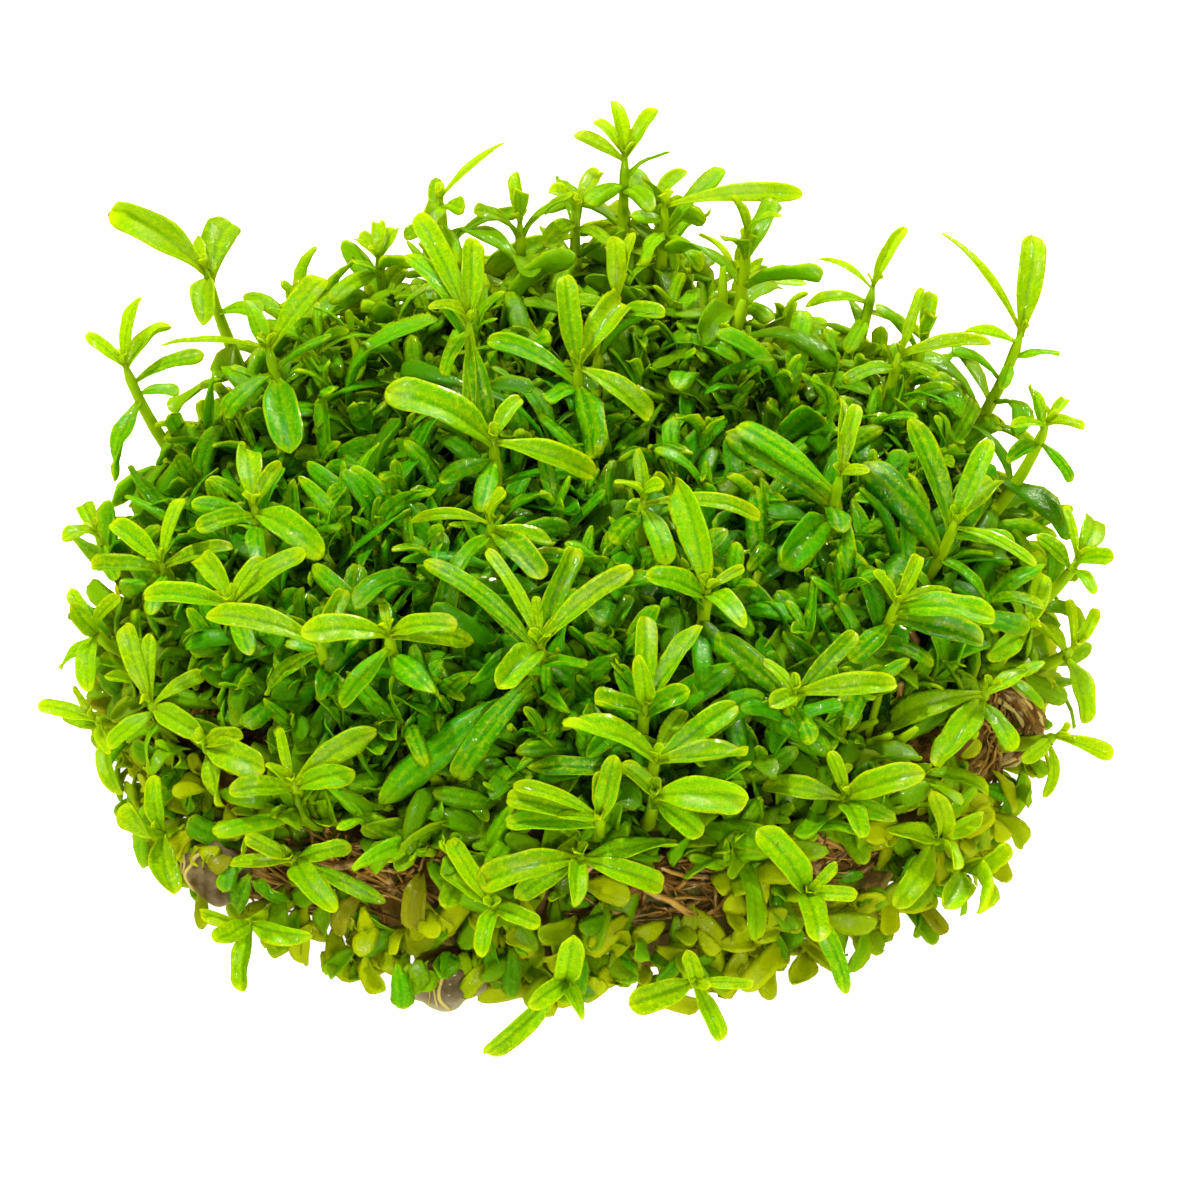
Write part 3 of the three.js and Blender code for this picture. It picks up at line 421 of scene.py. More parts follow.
class Crowd:
    """What is placed already, so that a new leaf can be kept clear of other shoots"""

    LONGEST = 9  # no leaf reaches further from its middle, in millimetres

    def __init__(self):
        self.placed = []

    def add(self, owner, beads):
        middle = beads[len(beads) // 2]
        reach = np.linalg.norm(beads - middle, axis=1).max()
        self.placed.append((owner, beads, middle, reach))

    def is_clear(self, owner, beads):
        middle = beads[len(beads) // 2]
        for other, theirs, their_middle, reach in self.placed:
            near = np.linalg.norm(their_middle - middle) <= reach + self.LONGEST
            if other != owner and near and np.linalg.norm(theirs[:, None] - beads, axis=2).min() <= CLEAR:
                return False
        return True

    def first_clear(self, owner, tries):
        """The first try that is clear of the floor and of other shoots, if there is one"""
        for leaf in tries:
            beads = leaf.beads()
            if beads[:, 2].min() > FLOOR_CLEAR and self.is_clear(owner, beads):
                self.add(owner, beads)
                return leaf
        return None


def pictured_tries(curve, pixel, width, below):
    """The tries at a leaf whose tip lies under a picture pixel"""
    t = curve.at(max(0, 1 - below / curve.length))
    base, axis = curve.point(t), curve.tangent(t)
    facing = axis + TO_VIEWER * 0.8
    for size in (1, 0.9, 0.8):
        for shift in (0, -1, 1, -2, 2, -3, 3):
            tip = leaf_tip(base, axis, pixel, LEAF_LENGTH_OVER_WIDTH * width, shift)
            tip = base + (tip - base) * size
            yield Leaf(base, tip, facing, width * math.sqrt(size), 0.06 + 0.05 * below)


def paired_leaf(base, axis, turn, slope, length, width, age, wild=0.0):
    """A leaf that stands off an axis at a slope in degrees, turned about it"""
    side = Vector((1, 0, 0)).cross(axis).normalized()
    side.rotate(Quaternion(axis, turn))
    rise = math.radians(slope)
    run = side * math.cos(rise) + axis * math.sin(rise)
    return Leaf(base, base + run * length, axis, width, age, wild)


# The pairs of a hidden shoot from its bud down: distance below the top, width, slope in degrees
HIDDEN_PAIRS = [(0.2, 1.4, 65), (1.6, 2.0, 42), (3.8, 2.4, 22), (6, 2.4, 8)]


def hidden_shoot(index):
    """The name of a shoot on the side that faces away, its stem and how far its leaves are turned"""
    angle = math.radians(32 + 23 * index)
    distance = 21 if index % 2 else 29
    height = dome_height(distance, CANOPY_RADIUS, CANOPY_HEIGHT)
    x, y = distance * math.cos(angle) * WIDER, distance * math.sin(angle)
    top = Vector((x, y, height + back_lift(y, height) + 1 + index % 3))
    return f"hidden_shoot_{index + 1}", stem_curve(top), 1.1 * index


def hidden_tries(curve, below, width, slope, turn):
    """The tries at a leaf of a hidden shoot, turned one way and the other"""
    t = curve.at(1 - below / curve.length)
    base, axis = curve.point(t), curve.tangent(t)
    for more in (0, 0.25, -0.25, 0.5, -0.5, 0.75, -0.75):
        length = LEAF_LENGTH_OVER_WIDTH * width
        yield paired_leaf(base, axis, turn + more, slope, length, width, 0.1 + 0.08 * below)


# Meshes

def ring_faces(rings, sides, falling=False):
    """The faces between rings of vertices that follow each other; falling ones lead outwards or down"""
    faces = []
    for r in range(rings - 1):
        for k in range(sides):
            a, b = r * sides + k, r * sides + (k + 1) % sides
            faces.append([a, a + sides, b + sides, b] if falling else [a, b, b + sides, a + sides])
    return faces


class LeafForm:
    """The layout that many leaves' meshes share: a closed blade with rows of vertices, at shares s of its
    length, and columns, at v from -1 to 1 across it"""

    FOOT = 0.3  # width at the foot over the full width
    FULL = 0.52  # share of the length where the blade reaches its full width
    THICKNESS = 0.08  # half of it over the width
    GROOVE_DEPTH = 0.7  # over the half thickness
    GROOVE_WIDTH = 0.22  # over the half width
    FLOOR = 0.05  # the lowest that a blade may reach
    UNEVENNESS = 0.04  # over the width
    UNEVEN = np.array([[1.9, 1.3, 0.4], [0.3, 2.7, -1.1], [2.3, 0.5, 3.9]])  # its waves, in radians a mm

    def __init__(self, shares, columns):
        self.s = np.array(shares)[:, None]
        self.v = np.linspace(-1, 1, columns + 1)
        self.swell = self.FOOT + (1 - self.FOOT) * smooth(0, self.FULL, self.s)
        rows, inner = len(shares), (len(shares) - 2, columns - 1)
        top = np.arange(rows * (columns + 1)).reshape(rows, columns + 1)
        bottom = top.copy()
        bottom[1:-1, 1:-1] = top.size + np.arange(inner[0] * inner[1]).reshape(inner)
        self.count = top.size + inner[0] * inner[1]
        faces = []
        for r in range(rows - 1):
            for c in range(columns):
                faces.append([top[r, c], top[r, c + 1], top[r + 1, c + 1], top[r + 1, c]])
                faces.append([bottom[r, c], bottom[r + 1, c], bottom[r + 1, c + 1], bottom[r, c + 1]])
        self.faces = np.array(faces)

    def corners(self, leaves):
        """The vertices of many leaves at once, with what their material reads: along, across, age and tone.
        Numbers are held by leaf, row and column, and places by x, y and z as well."""

        def get(name):
            return np.array([getattr(leaf, name) for leaf in leaves], dtype=float)[:, None, None]

        # The line of the blade's middle, and the ways across and up from it
        t = self.s[..., None]
        arch, curl, bow, roll = (get(name)[..., None] for name in ("arch", "curl", "bow", "roll"))
        base, tip, across, normal = get("base"), get("tip"), get("across"), get("normal")
        length = np.linalg.norm(tip - base, axis=-1, keepdims=True)
        pull = (base + tip) / 2 + normal * (2 * arch * length)
        line = base * (1 - t) ** 2 + pull * (2 * t * (1 - t)) + tip * t**2
        line = line - normal * (curl * length) * t**4
        line = line + across * (bow * length) * (t - t**2) * 4
        way = (pull - base) * (1 - t) + (tip - pull) * t
        way /= np.linalg.norm(way, axis=-1, keepdims=True)
        angle = roll * t**1.5
        up = np.cross(across, way)
        side = across * np.cos(angle) + up * np.sin(angle)
        up = up * np.cos(angle) - across * np.sin(angle)

        # The half width, and how far the flesh lies off the line
        s, v = self.s, self.v
        width, blunt, phase = get("width"), get("blunt"), get("phase")
        past = np.clip((s - blunt) / (1 - blunt), 0, 1)
        half = width / 2 * self.swell * np.maximum((1 - past**2.2) ** 0.5, 0.12)
        half = half * (1 + get("taper") * (s - 0.6))
        middle = line + side * (half * v)[..., None]
        thick = self.THICKNESS * width * (1.4 - 0.7 * s) * np.sqrt(1 - v**2)
        groove = self.GROOVE_DEPTH * thick * np.exp(-((v / self.GROOVE_WIDTH) ** 2))
        dish = get("cup") * half * (v**2 - 0.35)
        dish = dish + get("ripple") * width * np.sin(8 * s + phase + 1.4 * v) * v**2 * s
        waves = np.sin(middle @ self.UNEVEN.T + phase[..., None]).sum(axis=3)
        dish = dish + self.UNEVENNESS * width * waves * s

        top, edge, bottom = (middle + up * (dish + more)[..., None]
                             for more in (thick - groove, 0, -thick - 0.6 * groove))
        top[:, [0, -1]] = edge[:, [0, -1]]
        points = self.both_sides(top, bottom)
        points[..., 2] = np.maximum(points[..., 2], self.FLOOR)
        data = np.stack(np.broadcast_arrays(s, v / 2 + 0.5, get("age"), get("tone")), axis=-1)
        return points.reshape(-1, 3), self.both_sides(data, data).reshape(-1, 4)

    @staticmethod
    def both_sides(over, under):
        """The vertices of each leaf's upper side, and then the inner ones of its lower side"""
        parts = [over, under[:, 1:-1, 1:-1]]
        return np.concatenate([part.reshape(len(part), -1, part.shape[-1]) for part in parts], axis=1)


FINE_LEAF = LeafForm([0, 0.05, 0.12, 0.2, 0.3, 0.4, 0.5, 0.6, 0.7, 0.79, 0.86, 0.92, 0.96, 0.985, 1], 8)
SMALL_LEAF = LeafForm([0, 0.12, 0.28, 0.46, 0.64, 0.8, 0.91, 0.975, 1], 4)
DEEP_LEAF = LeafForm([0, 0.2, 0.42, 0.66, 0.86, 0.97, 1], 4)


def into_scene(name, data, place=(0, 0, 0), looking=None):
    """A new object, which looks in a direction if it is given one"""
    made = bpy.data.objects.new(name, data)
    made.location = place
    if looking:
        made.rotation_euler = looking.to_track_quat("-Z", "Y").to_euler()
    bpy.context.scene.collection.objects.link(made)
    return made


class Build:
    """Collects leaves, tubes and other forms, and makes one mesh object of them"""

    def __init__(self):
        self.points, self.faces, self.data, self.marks = [], [], [], []
        self.count = 0

    def add(self, points, faces, mark=0, data=None):
        """Adds vertices, the faces between them, the number of their material and what it reads"""
        self.points.append(np.asarray(points, dtype=float))
        self.faces += [[corner + self.count for corner in face] for face in faces]
        self.data.append(np.zeros((len(points), 4)) if data is None else data)
        self.marks += [mark] * len(faces)
        self.count += len(points)

    def leaves(self, leaves, form):
        """Adds leaves in one form, with the first material"""
        if not leaves:
            return
        points, data = form.corners(leaves)
        shift = np.arange(len(leaves))[:, None, None] * form.count
        self.add(points, (form.faces[None] + shift).reshape(-1, 4).tolist(), 0, data)

    def tube(self, path, radii, sides, mark, age=0.3, tone=0.5):
        """Adds a tube along points, with its ends filled in"""
        lean = Vector((0.31, 0.83, 0.46))  # along no stem or root
        rings = []
        for i, point in enumerate(path):
            way = (path[min(i + 1, len(path) - 1)] - path[max(i - 1, 0)]).normalized()
            side = way.cross(lean).normalized()
            other = way.cross(side)
            for k in range(sides):
                turn = 2 * math.pi * k / sides
                rings.append(point + (side * math.cos(turn) + other * math.sin(turn)) * radii[i])
        faces = ring_faces(len(path), sides)
        last = (len(path) - 1) * sides
        for k in range(1, sides - 2, 2):
            faces.append([0, k + 2, k + 1, k])
            faces.append([last, last + k, last + k + 1, last + k + 2])
        data = np.zeros((len(rings), 4))
        data[:, 0] = np.repeat(np.linspace(0, 1, len(path)), sides)
        data[:, 1] = np.tile(np.arange(sides) / sides, len(path))
        data[:, 2] = age
        data[:, 3] = tone
        self.add(rings, faces, mark, data)

    def finish(self, name, nodes, slot, materials):
        """Makes the piece, which rides the one body and takes the place of its nodes"""
        mesh = bpy.data.meshes.new(name)
        mesh.from_pydata((np.concatenate(self.points) * MM).tolist(), [], self.faces)
        mesh.polygons.foreach_set("use_smooth", [True] * len(self.faces))
        mesh.polygons.foreach_set("material_index", self.marks)
        colours = mesh.color_attributes.new("growth", "FLOAT_COLOR", "POINT")
        colours.data.foreach_set("color", np.concatenate(self.data).ravel())
        for material in materials:
            mesh.materials.append(material)
        mesh.update()
        piece = into_scene(name, mesh)
        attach(piece, "root")
        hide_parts(*nodes)
        return piece


# Materials

def new_node(tree, kind, inputs=None, **settings):
    """A new node with its settings and inputs"""
    made = tree.nodes.new(kind)
    for name, setting in settings.items():
        setattr(made, name, setting)
    feed(made, inputs or {})
    return made


def feed(node, inputs):
    """Sets a node's inputs, each to a plain value or to what another node gives"""
    for socket, value in inputs.items():
        if isinstance(value, Value):
            node.id_data.links.new(value.socket, node.inputs[socket])
        else:
            node.inputs[socket].default_value = value


def maths(operation, *terms):
    """A step of arithmetic, of which at least one term is a Value"""
    tree = next(term.node.id_data for term in terms if isinstance(term, Value))
    return Value(new_node(tree, "ShaderNodeMath", dict(enumerate(terms)), operation=operation))


class Value:
    """What a node gives, a number or a colour, with the arithmetic that makes more nodes"""

    def __init__(self, node, output=0):
        self.node, self.socket = node, node.outputs[output]

    def __add__(self, other):
        return maths("ADD", self, other)

    def __sub__(self, other):
        return maths("SUBTRACT", self, other)

    def __rsub__(self, other):
        return maths("SUBTRACT", other, self)

    def __mul__(self, other):
        return maths("MULTIPLY", self, other)

    def __abs__(self):
        return maths("ABSOLUTE", self)

    def clamped(self):
        """Kept from 0 to 1"""
        self.node.use_clamp = True
        return self

    def between(self, low, high):
        """0 below low, 1 above high, and smooth between"""
        span = {"Value": self, "From Min": low, "From Max": high}
        made = new_node(self.node.id_data, "ShaderNodeMapRange", span, interpolation_type="SMOOTHSTEP")
        return Value(made, "Result")

    def blend(self, a, b):
        """Colour a where this is 0 and b where it is 1"""
        return Value(new_node(self.node.id_data, "ShaderNodeMix", {0: self, 6: a, 7: b}, data_type="RGBA"), 2)


def painted(base, *layers):
    """A colour with layers over it, each a share and its colour"""
    for share, colour in layers:
        base = share.blend(base, colour)
    return base


class Look:
    """A material in the making, with what its nodes read from the mesh"""

    def __init__(self, name):
        self.material = bpy.data.materials.new(name)
        self.material.use_nodes = True
        self.tree = self.material.node_tree
        self.shader = self.tree.nodes["Principled BSDF"]

    def growth(self):
        """What a leaf's or stem's vertices carry: along, across, age and tone"""
        read = new_node(self.tree, "ShaderNodeAttribute", attribute_name="growth")
        split = new_node(self.tree, "ShaderNodeSeparateColor", {"Color": Value(read, "Color")})
        return Value(split, 0), Value(split, 1), Value(split, 2), Value(read, "Alpha")

    def place(self):
        """A place's coordinates, in metres"""
        return Value(new_node(self.tree, "ShaderNodeTexCoord"), "Object")

    def axis(self, letter):
        """One of a place's coordinates, by its letter"""
        return Value(new_node(self.tree, "ShaderNodeSeparateXYZ", {"Vector": self.place()}), letter)

    def patches(self, scale, detail=3, rough=0.5, place=None):
        """Soft patches from 0 to 1, about one to a scale's part of a metre"""
        inputs = {"Vector": place or self.place(), "Scale": scale, "Detail": detail, "Roughness": rough}
        return Value(new_node(self.tree, "ShaderNodeTexNoise", inputs), "Fac")

    def bump(self, height, strength, distance):
        """The normal of a surface that is uneven by a height, at most by a distance in metres"""
        inputs = {"Height": height, "Strength": strength, "Distance": distance}
        return Value(new_node(self.tree, "ShaderNodeBump", inputs), "Normal")

    def wet(self, height, strength, coat):
        """A wet surface: a thin clear film over fine unevenness"""
        normal = self.bump(height, strength, 0.0001)
        feed(self.shader, {"Normal": normal, "Coat Normal": normal, "Specular IOR Level": 0.05,
                           "Coat Weight": coat, "Coat Roughness": 0.04, "Coat IOR": 1.4})

    def fleshy(self, weight, radius):
        """Light that goes through the flesh comes out coloured"""
        feed(self.shader, {"Subsurface Weight": weight, "Subsurface Radius": radius, "Subsurface Scale": MM})


# Colours, in linear light
DEEP_GREEN = (0.002, 0.12, 0.0, 1)
LEAF_GREEN = (0.008, 0.25, 0.0, 1)
BRIGHT_GREEN = (0.1, 0.42, 0.0, 1)
YOUNG_GREEN = (0.42, 0.56, 0.0, 1)
TIP_YELLOW = (0.66, 0.7, 0.0, 1)
OLD_YELLOW = (0.34, 0.38, 0.0, 1)
OLD_BROWN = (0.14, 0.1, 0.012, 1)


def veins(along, off_middle):
    """Thin side veins that leave the midrib towards the tip"""
    share = maths("FRACT", along * 9 - off_middle * 1.8)
    return share.between(0, 0.1) * (1 - share.between(0.1, 0.25))


def leaf_material(name, aged):
    """Green by age and tone, lighter at the tip, with painted shade in the midrib groove and a painted
    highlight on its shoulders; the margin is lighter, partly its own lime edge and partly a painted
    highlight;
    young leaves are lighter and yellower low on the clump and at its back, where it is painted backlight;
    aged leaves turn yellow and some brown"""
    look = Look(name)
    along, across, age, tone = look.growth()
    off_middle = abs(across * 2 - 1)
    # Painted highlight on the shoulders either side of the midrib groove
    shoulder_highlight = off_middle.between(0.12, 0.26) * (1 - off_middle.between(0.3, 0.7))
    blotch, cells, grain = look.patches(300), look.patches(2600, 2), look.patches(8000, 1)
    fresh = (1 - age * 2.1).clamped()
    youngest = 1 - age.between(0.03, 0.16)
    # Lighter and yellower low on the clump and at its back; at the back this is painted light, the glow of
    # backlit leaves
    low = 1 - look.axis("Z").between(0.009, 0.02)
    low_and_backlight = maths("MAXIMUM", low, look.axis("Y").between(0.002, 0.022))
    wilted = tone.between(0.86, 0.95) * age.between(0.6, 0.8)
    green = painted(
        tone.between(0, 1).blend(DEEP_GREEN, LEAF_GREEN),
        (fresh * (tone * 0.65 + 0.2), BRIGHT_GREEN),
        (youngest * 0.5, YOUNG_GREEN),
        (blotch.between(0.42, 0.7) * (fresh * 0.45 + 0.05), BRIGHT_GREEN),
        (cells.between(0.5, 0.65) * (fresh * 0.5), YOUNG_GREEN),
        (grain.between(0.45, 0.7) * 0.4, DEEP_GREEN),
        (veins(along, off_middle) * 0.12, DEEP_GREEN),
        # Painted shade along the midrib groove, then the painted highlight on its shoulders
        ((1 - off_middle.between(0.04, 0.2)) * 0.15, DEEP_GREEN),
        (shoulder_highlight * (fresh * 0.3), YOUNG_GREEN),
        # A lighter margin: partly the leaf's own lime edge, partly a painted highlight
        (off_middle.between(0.82, 1) * (blotch.between(0.35, 0.6) * (fresh * 0.42 + 0.05)), TIP_YELLOW),
        (along.between(0.85, 1) * (fresh * 0.4), TIP_YELLOW),
        # A thin dark line down the middle: painted shade at the bottom of the groove
        ((1 - off_middle.between(0, 0.06)) * 0.25, DEEP_GREEN),
        # Lighter low on the clump and painted backlight at its back, on young leaves
        (low_and_backlight * (0.32 * (1 - aged)), YOUNG_GREEN),
        ((1 - along.between(0, 0.3)) * 0.35, OLD_YELLOW),
        (age.between(0.3, 0.8) * aged, OLD_YELLOW),
        (wilted * (0.7 * aged), OLD_BROWN),
    )
    feed(look.shader, {"Base Color": green, "Roughness": blotch * 0.3 + 0.3})
    look.fleshy(0.3, (0.9, 1.0, 0.02))
    look.wet(cells + blotch * 3 + grain * 0.4, 0.9, 0.6)
    return look.material


def stem_material():
    look = Look("stem")
    along = look.growth()[0]
    blotch = look.patches(500)
    green = blotch.blend((0.12, 0.33, 0.0, 1), (0.36, 0.5, 0.004, 1))
    green = painted(green, ((1 - along) * 0.4, OLD_YELLOW))
    feed(look.shader, {"Base Color": green, "Roughness": 0.45})
    look.fleshy(0.3, (0.9, 1.0, 0.05))
    look.wet(blotch, 0.4, 0.4)
    return look.material


def shade_tangle_material():
    """The inside of the clump, where old leaves and stems lie too deep to be told apart, coloured dark green
    as painted shade
    """
    look = Look("tangle")
    clumps, height = look.patches(420, 4, 0.6), look.axis("Z")
    thick = clumps.between(0.42, 0.62)
    # Dark greens that are painted shade, brown at the mat's height and lighter green higher up
    green = painted(
        thick.blend((0.006, 0.035, 0.0, 1), (0.03, 0.14, 0.0, 1)),
        (look.patches(1500).between(0.55, 0.75) * 0.5, (0.12, 0.2, 0.0, 1)),
        (1 - height.between(0.0115, 0.0135), thick.blend((0.04, 0.017, 0.008, 1), (0.14, 0.07, 0.02, 1))),
        (height.between(0.018, 0.03) * 0.7, (0.06, 0.24, 0.0, 1)),
    )
    feed(look.shader, {"Base Color": green, "Roughness": 0.8, "Specular IOR Level": 0.1,
                       "Normal": look.bump(clumps, 1.0, 0.002)})
    return look.material


def mat_material():
    """Brown by clumps and fibres, with a little moss"""
    look = Look("root_mat")
    clumps, fibres = look.patches(160, 6, 0.65), look.patches(900, 4, 0.6)
    brown = painted(
        clumps.between(0.35, 0.65).blend((0.04, 0.017, 0.008, 1), (0.2, 0.09, 0.03, 1)),
        (fibres.between(0.5, 0.75), (0.42, 0.21, 0.05, 1)),
        (look.patches(90).between(0.52, 0.7) * 0.25, (0.1, 0.16, 0.01, 1)),
    )
    feed(look.shader, {"Base Color": brown, "Roughness": 0.4, "Coat Weight": 0.3, "Coat Roughness": 0.2,
                       "Normal": look.bump(fibres, 0.8, 0.0004)})
    return look.material


def root_material():
    """Brown bark with fibres along it, darker or paler by tone, and bleached where the age is 1"""
    look = Look("root")
    along, turn, age, tone = look.growth()
    bark = new_node(look.tree, "ShaderNodeCombineXYZ", {"X": turn * 9, "Y": along * 2.5, "Z": tone * 40})
    streak = look.patches(1, place=Value(bark))
    brown = painted(
        tone.blend((0.14, 0.05, 0.015, 1), (0.5, 0.26, 0.07, 1)),
        (streak.between(0.45, 0.62) * 0.8, (0.05, 0.018, 0.008, 1)),
        (look.patches(900).between(0.55, 0.75), (0.5, 0.33, 0.2, 1)),
        (age.between(0.5, 0.9), (0.52, 0.4, 0.17, 1)),
    )
    feed(look.shader, {"Base Color": brown, "Roughness": 0.4, "Specular IOR Level": 0.2, "Coat Weight": 0.5,
                       "Coat Roughness": 0.12, "Normal": look.bump(streak, 0.8, 0.0002)})
    return look.material


def jelly_material():
    """Grey-brown jelly, darker over the mat and lighter at its lower edge, where painted light stands for the
    floor's glow through it
    """
    look = Look("jelly")
    cloud = look.patches(240, 4, 0.6)
    grey = painted(
        cloud.between(0.4, 0.62).blend((0.04, 0.015, 0.008, 1), (0.24, 0.17, 0.14, 1)),
        # Lighter towards the floor: painted light of the white floor shining through the jelly
        (1 - look.axis("Z").between(0.0005, 0.0045), (0.42, 0.36, 0.33, 1)),
    )
    feed(look.shader, {"Base Color": grey, "Roughness": 0.3, "Transmission Weight": 0.3, "IOR": 1.34})
    look.fleshy(0.4, (1.0, 0.8, 0.7))
    look.wet(cloud, 0.6, 0.5)
    return look.material


LEAF = leaf_material("leaf", 0.25)
OLD_LEAF = leaf_material("old_leaf", 0.85)
STEM = stem_material()
SHADE_TANGLE = shade_tangle_material()
MAT = mat_material()
ROOT = root_material()
JELLY = jelly_material()


# Tall shoots

BLADE = 0.88  # width of a blade over that of its solid, which holds its folds and ripples too
UNDER_COVER = 6  # how much of a stem is made under the cushion's top
HIDDEN_SHOOTS = 4


def shown_from(curve):
    """The curve's parameter where its stem starts, well under the top of the cushion or of the mat"""
    for step in range(60, -1, -1):
        point = curve.point(step / 60)
        distance = from_middle(point.x, point.y)
        covered = max(cushion_height(point.x, point.y), MAT_HEIGHT * (distance < MAT_RADIUS))
        if distance < CUSHION_RADIUS and point.z < covered - UNDER_COVER:
            return step / 60
    return 0.0


def stem_into(build, curve):
    """Makes a stem from where it shows up to its top"""
    start = shown_from(curve)
    steps = [start + (1 - start) * i / 9 for i in range(10)]
    path = [curve.point(t) for t in steps]
    radii = [0.5 * STEM_WIDTH * (1.05 - 0.45 * i / 9 + 0.05 * math.sin(2.6 * i)) for i in range(10)]
    radii[-1] *= 0.5
    build.tube(path, radii, 10, 1)


def bud(curve, turn):
    """The two smallest leaves, still folded over the shoot's end"""
    top, axis = curve.point(0.985), curve.tangent(1)
    return [paired_leaf(top, axis, turn + side, 68, 1.5, 0.75, 0.0) for side in (0, math.pi)]


def lower_leaves(curve, turn, sight):
    """The pairs on a stem down to the undergrowth, where they cover no pictured leaf"""
    widest = max(CUSHION_RADIUS, from_middle(curve.end.x, curve.end.y)) + 2
    shown = curve.length - curve.lengths[round(curve.STEPS * shown_from(curve))]
    leaves = []
    below = 2.6
    while below < shown + 1:
        t = curve.at(max(0, 1 - below / curve.length))
        for side in (0, math.pi):
            width = random.uniform(1.1, 1.5) + 0.05 * min(below, 8)
            slope = max(5, 55 - 5.5 * below) + random.uniform(-18, 18)
            way = turn + side + random.uniform(-0.4, 0.4)
            leaf = paired_leaf(
                curve.point(t), curve.tangent(t), way, slope, width * random.uniform(3, 4.4), width,
                0.12 + 0.06 * below, 0.8,
            )
            inside = in_box(leaf.tip) and from_middle(leaf.tip.x, leaf.tip.y) < widest
            if inside and leaf.tip.z > FLOOR_CLEAR and sight.is_free(leaf):
                leaves.append(leaf)
        turn += math.pi / 2
        below += random.uniform(1.7, 2.4)
    return leaves


def placed_shoots():
    """The name, stem and leaves of each tall shoot, the pictured ones first, with their leaves kept apart"""
    rows = [(name, pictured_stem(pixel, depth), leaves) for name, pixel, depth, leaves in SHOOTS]
    hidden = [hidden_shoot(index) for index in range(HIDDEN_SHOOTS)]
    crowd = Crowd()
    for name, curve, _ in rows + hidden:
        crowd.add(name, np.array([curve.point(curve.at(i / 24)) for i in range(25)]))
    for name, curve, leaves in rows:
        yield name, curve, [crowd.first_clear(name, pictured_tries(curve, (px, py), width, below))
                            for px, py, width, below in leaves]
    for name, curve, turn in hidden:
        found = []
        for level, (below, width, slope) in enumerate(HIDDEN_PAIRS):
            for side in (0, math.pi):
                way = turn + side + level * math.pi / 2
                found.append(crowd.first_clear(name, hidden_tries(curve, below, width, slope, way)))
        yield name, curve, found


def tall_shoots():
    """Makes the tall shoots, and gives the front view's sight of the pictured ones"""
    grown = [(name, curve, [leaf for leaf in found if leaf]) for name, curve, found in placed_shoots()]
    sight = Sight([leaf for _, _, leaves in grown[:len(SHOOTS)] for leaf in leaves])
    for index, (name, curve, leaves) in enumerate(grown):
        for leaf in leaves:
            leaf.width *= BLADE
        build = Build()
        stem_into(build, curve)
        build.leaves(leaves + bud(curve, 0.8 * index), FINE_LEAF)
        if name.startswith("rim"):
            slot, leaf_look = "old_leaf", OLD_LEAF
        else:
            slot, leaf_look = "young_leaf", LEAF
            build.leaves(lower_leaves(curve, 0.8 * index, sight), SMALL_LEAF)
        build.finish(name + "_grown", [name], slot, [leaf_look, STEM])
    return sight


# Undergrowth

# The pairs of a short shoot from its bud down: distance below the top, width, slope in degrees
SHORT_PAIRS = [(0.1, 0.8, 70), (0.8, 1.2, 55), (2.1, 1.5, 40), (3.9, 1.7, 24), (6.1, 1.8, 8)]
SHORT_STEM = 9
EDGE_SHARE = 0.93  # of the cushion's radius, past which its top falls off steeply
TANGLE_ROWS, TANGLE_SIDES = 22, 90
DEEP_LEAVES = 1300
OLD_STEMS = 260


def short_shoot(build, top, axis, turn, vigour, sight):
    """A short shoot with its pairs of leaves crosswise, from the bud down"""
    foot = top - axis * SHORT_STEM
    foot = Vector((foot.x * 0.9, foot.y * 0.9, max(MAT_HEIGHT - 2, foot.z)))
    curve = Bend(foot, top - axis * 4, top)
    build.tube([curve.point(t) for t in (0, 0.35, 0.7, 1)], [0.55, 0.52, 0.45, 0.25], 6, 1)
    leaves = []
    for level, (below, width, slope) in enumerate(SHORT_PAIRS):
        if below > curve.length:
            break
        t = curve.at(1 - below / curve.length)
        for side in (0, math.pi):
            way = turn + side + level * math.pi / 2 + random.uniform(-0.5, 0.5)
            wide = width * vigour * random.uniform(0.75, 1.2)
            length = wide * random.uniform(3.2, 4.8)
            tilt = slope + random.uniform(-20, 20)
            age = 0.14 + 0.09 * below
            leaf = paired_leaf(curve.point(t), curve.tangent(t), way, tilt, length, wide, age, 1)
            if in_box(leaf.tip) and not is_bare(leaf.tip) and sight.is_free(leaf):
                leaves.append(leaf)
    return leaves


def undergrowth(name, low, high, count, sight):
    """The short shoots whose distance from the middle is between two shares of the cushion's radius"""
    build = Build()
    leaves = []
    for i in range(count):
        share = math.sqrt(low**2 + (high**2 - low**2) * (i + 0.5) / count)
        out = around(i * GOLDEN_ANGLE + random.uniform(-0.05, 0.05))
        place = out * (CUSHION_RADIUS * share)
        inner = out * (CUSHION_RADIUS * min(share, EDGE_SHARE))
        height = cushion_height(inner.x, inner.y) + random.uniform(-4.2, 1.4)
        height += 4.5 * smooth(0, 20, place.y) * random.random() ** 1.5
        axis = Vector((0, 0, 1)) + out * (0.15 + 0.6 * share**3)
        axis += Vector((random.uniform(-0.3, 0.3), random.uniform(-0.3, 0.3), 0))
        top = place + Vector((0, 0, height))
        turn, vigour = random.uniform(0, math.pi), random.uniform(0.95, 1.3)
        leaves += short_shoot(build, top, axis.normalized(), turn, vigour, sight)
    build.leaves(leaves, SMALL_LEAF)
    build.finish(name, ["undergrowth"], "young_leaf", [LEAF, STEM])


def tangle_depth(x, y):
    """How far the clump's closed inside lies under the cushion's top"""
    return 4.5 + lumpy((x, y, 0), 2.5, 3.0) + lumpy((x, y, 0), 7, 1.5)


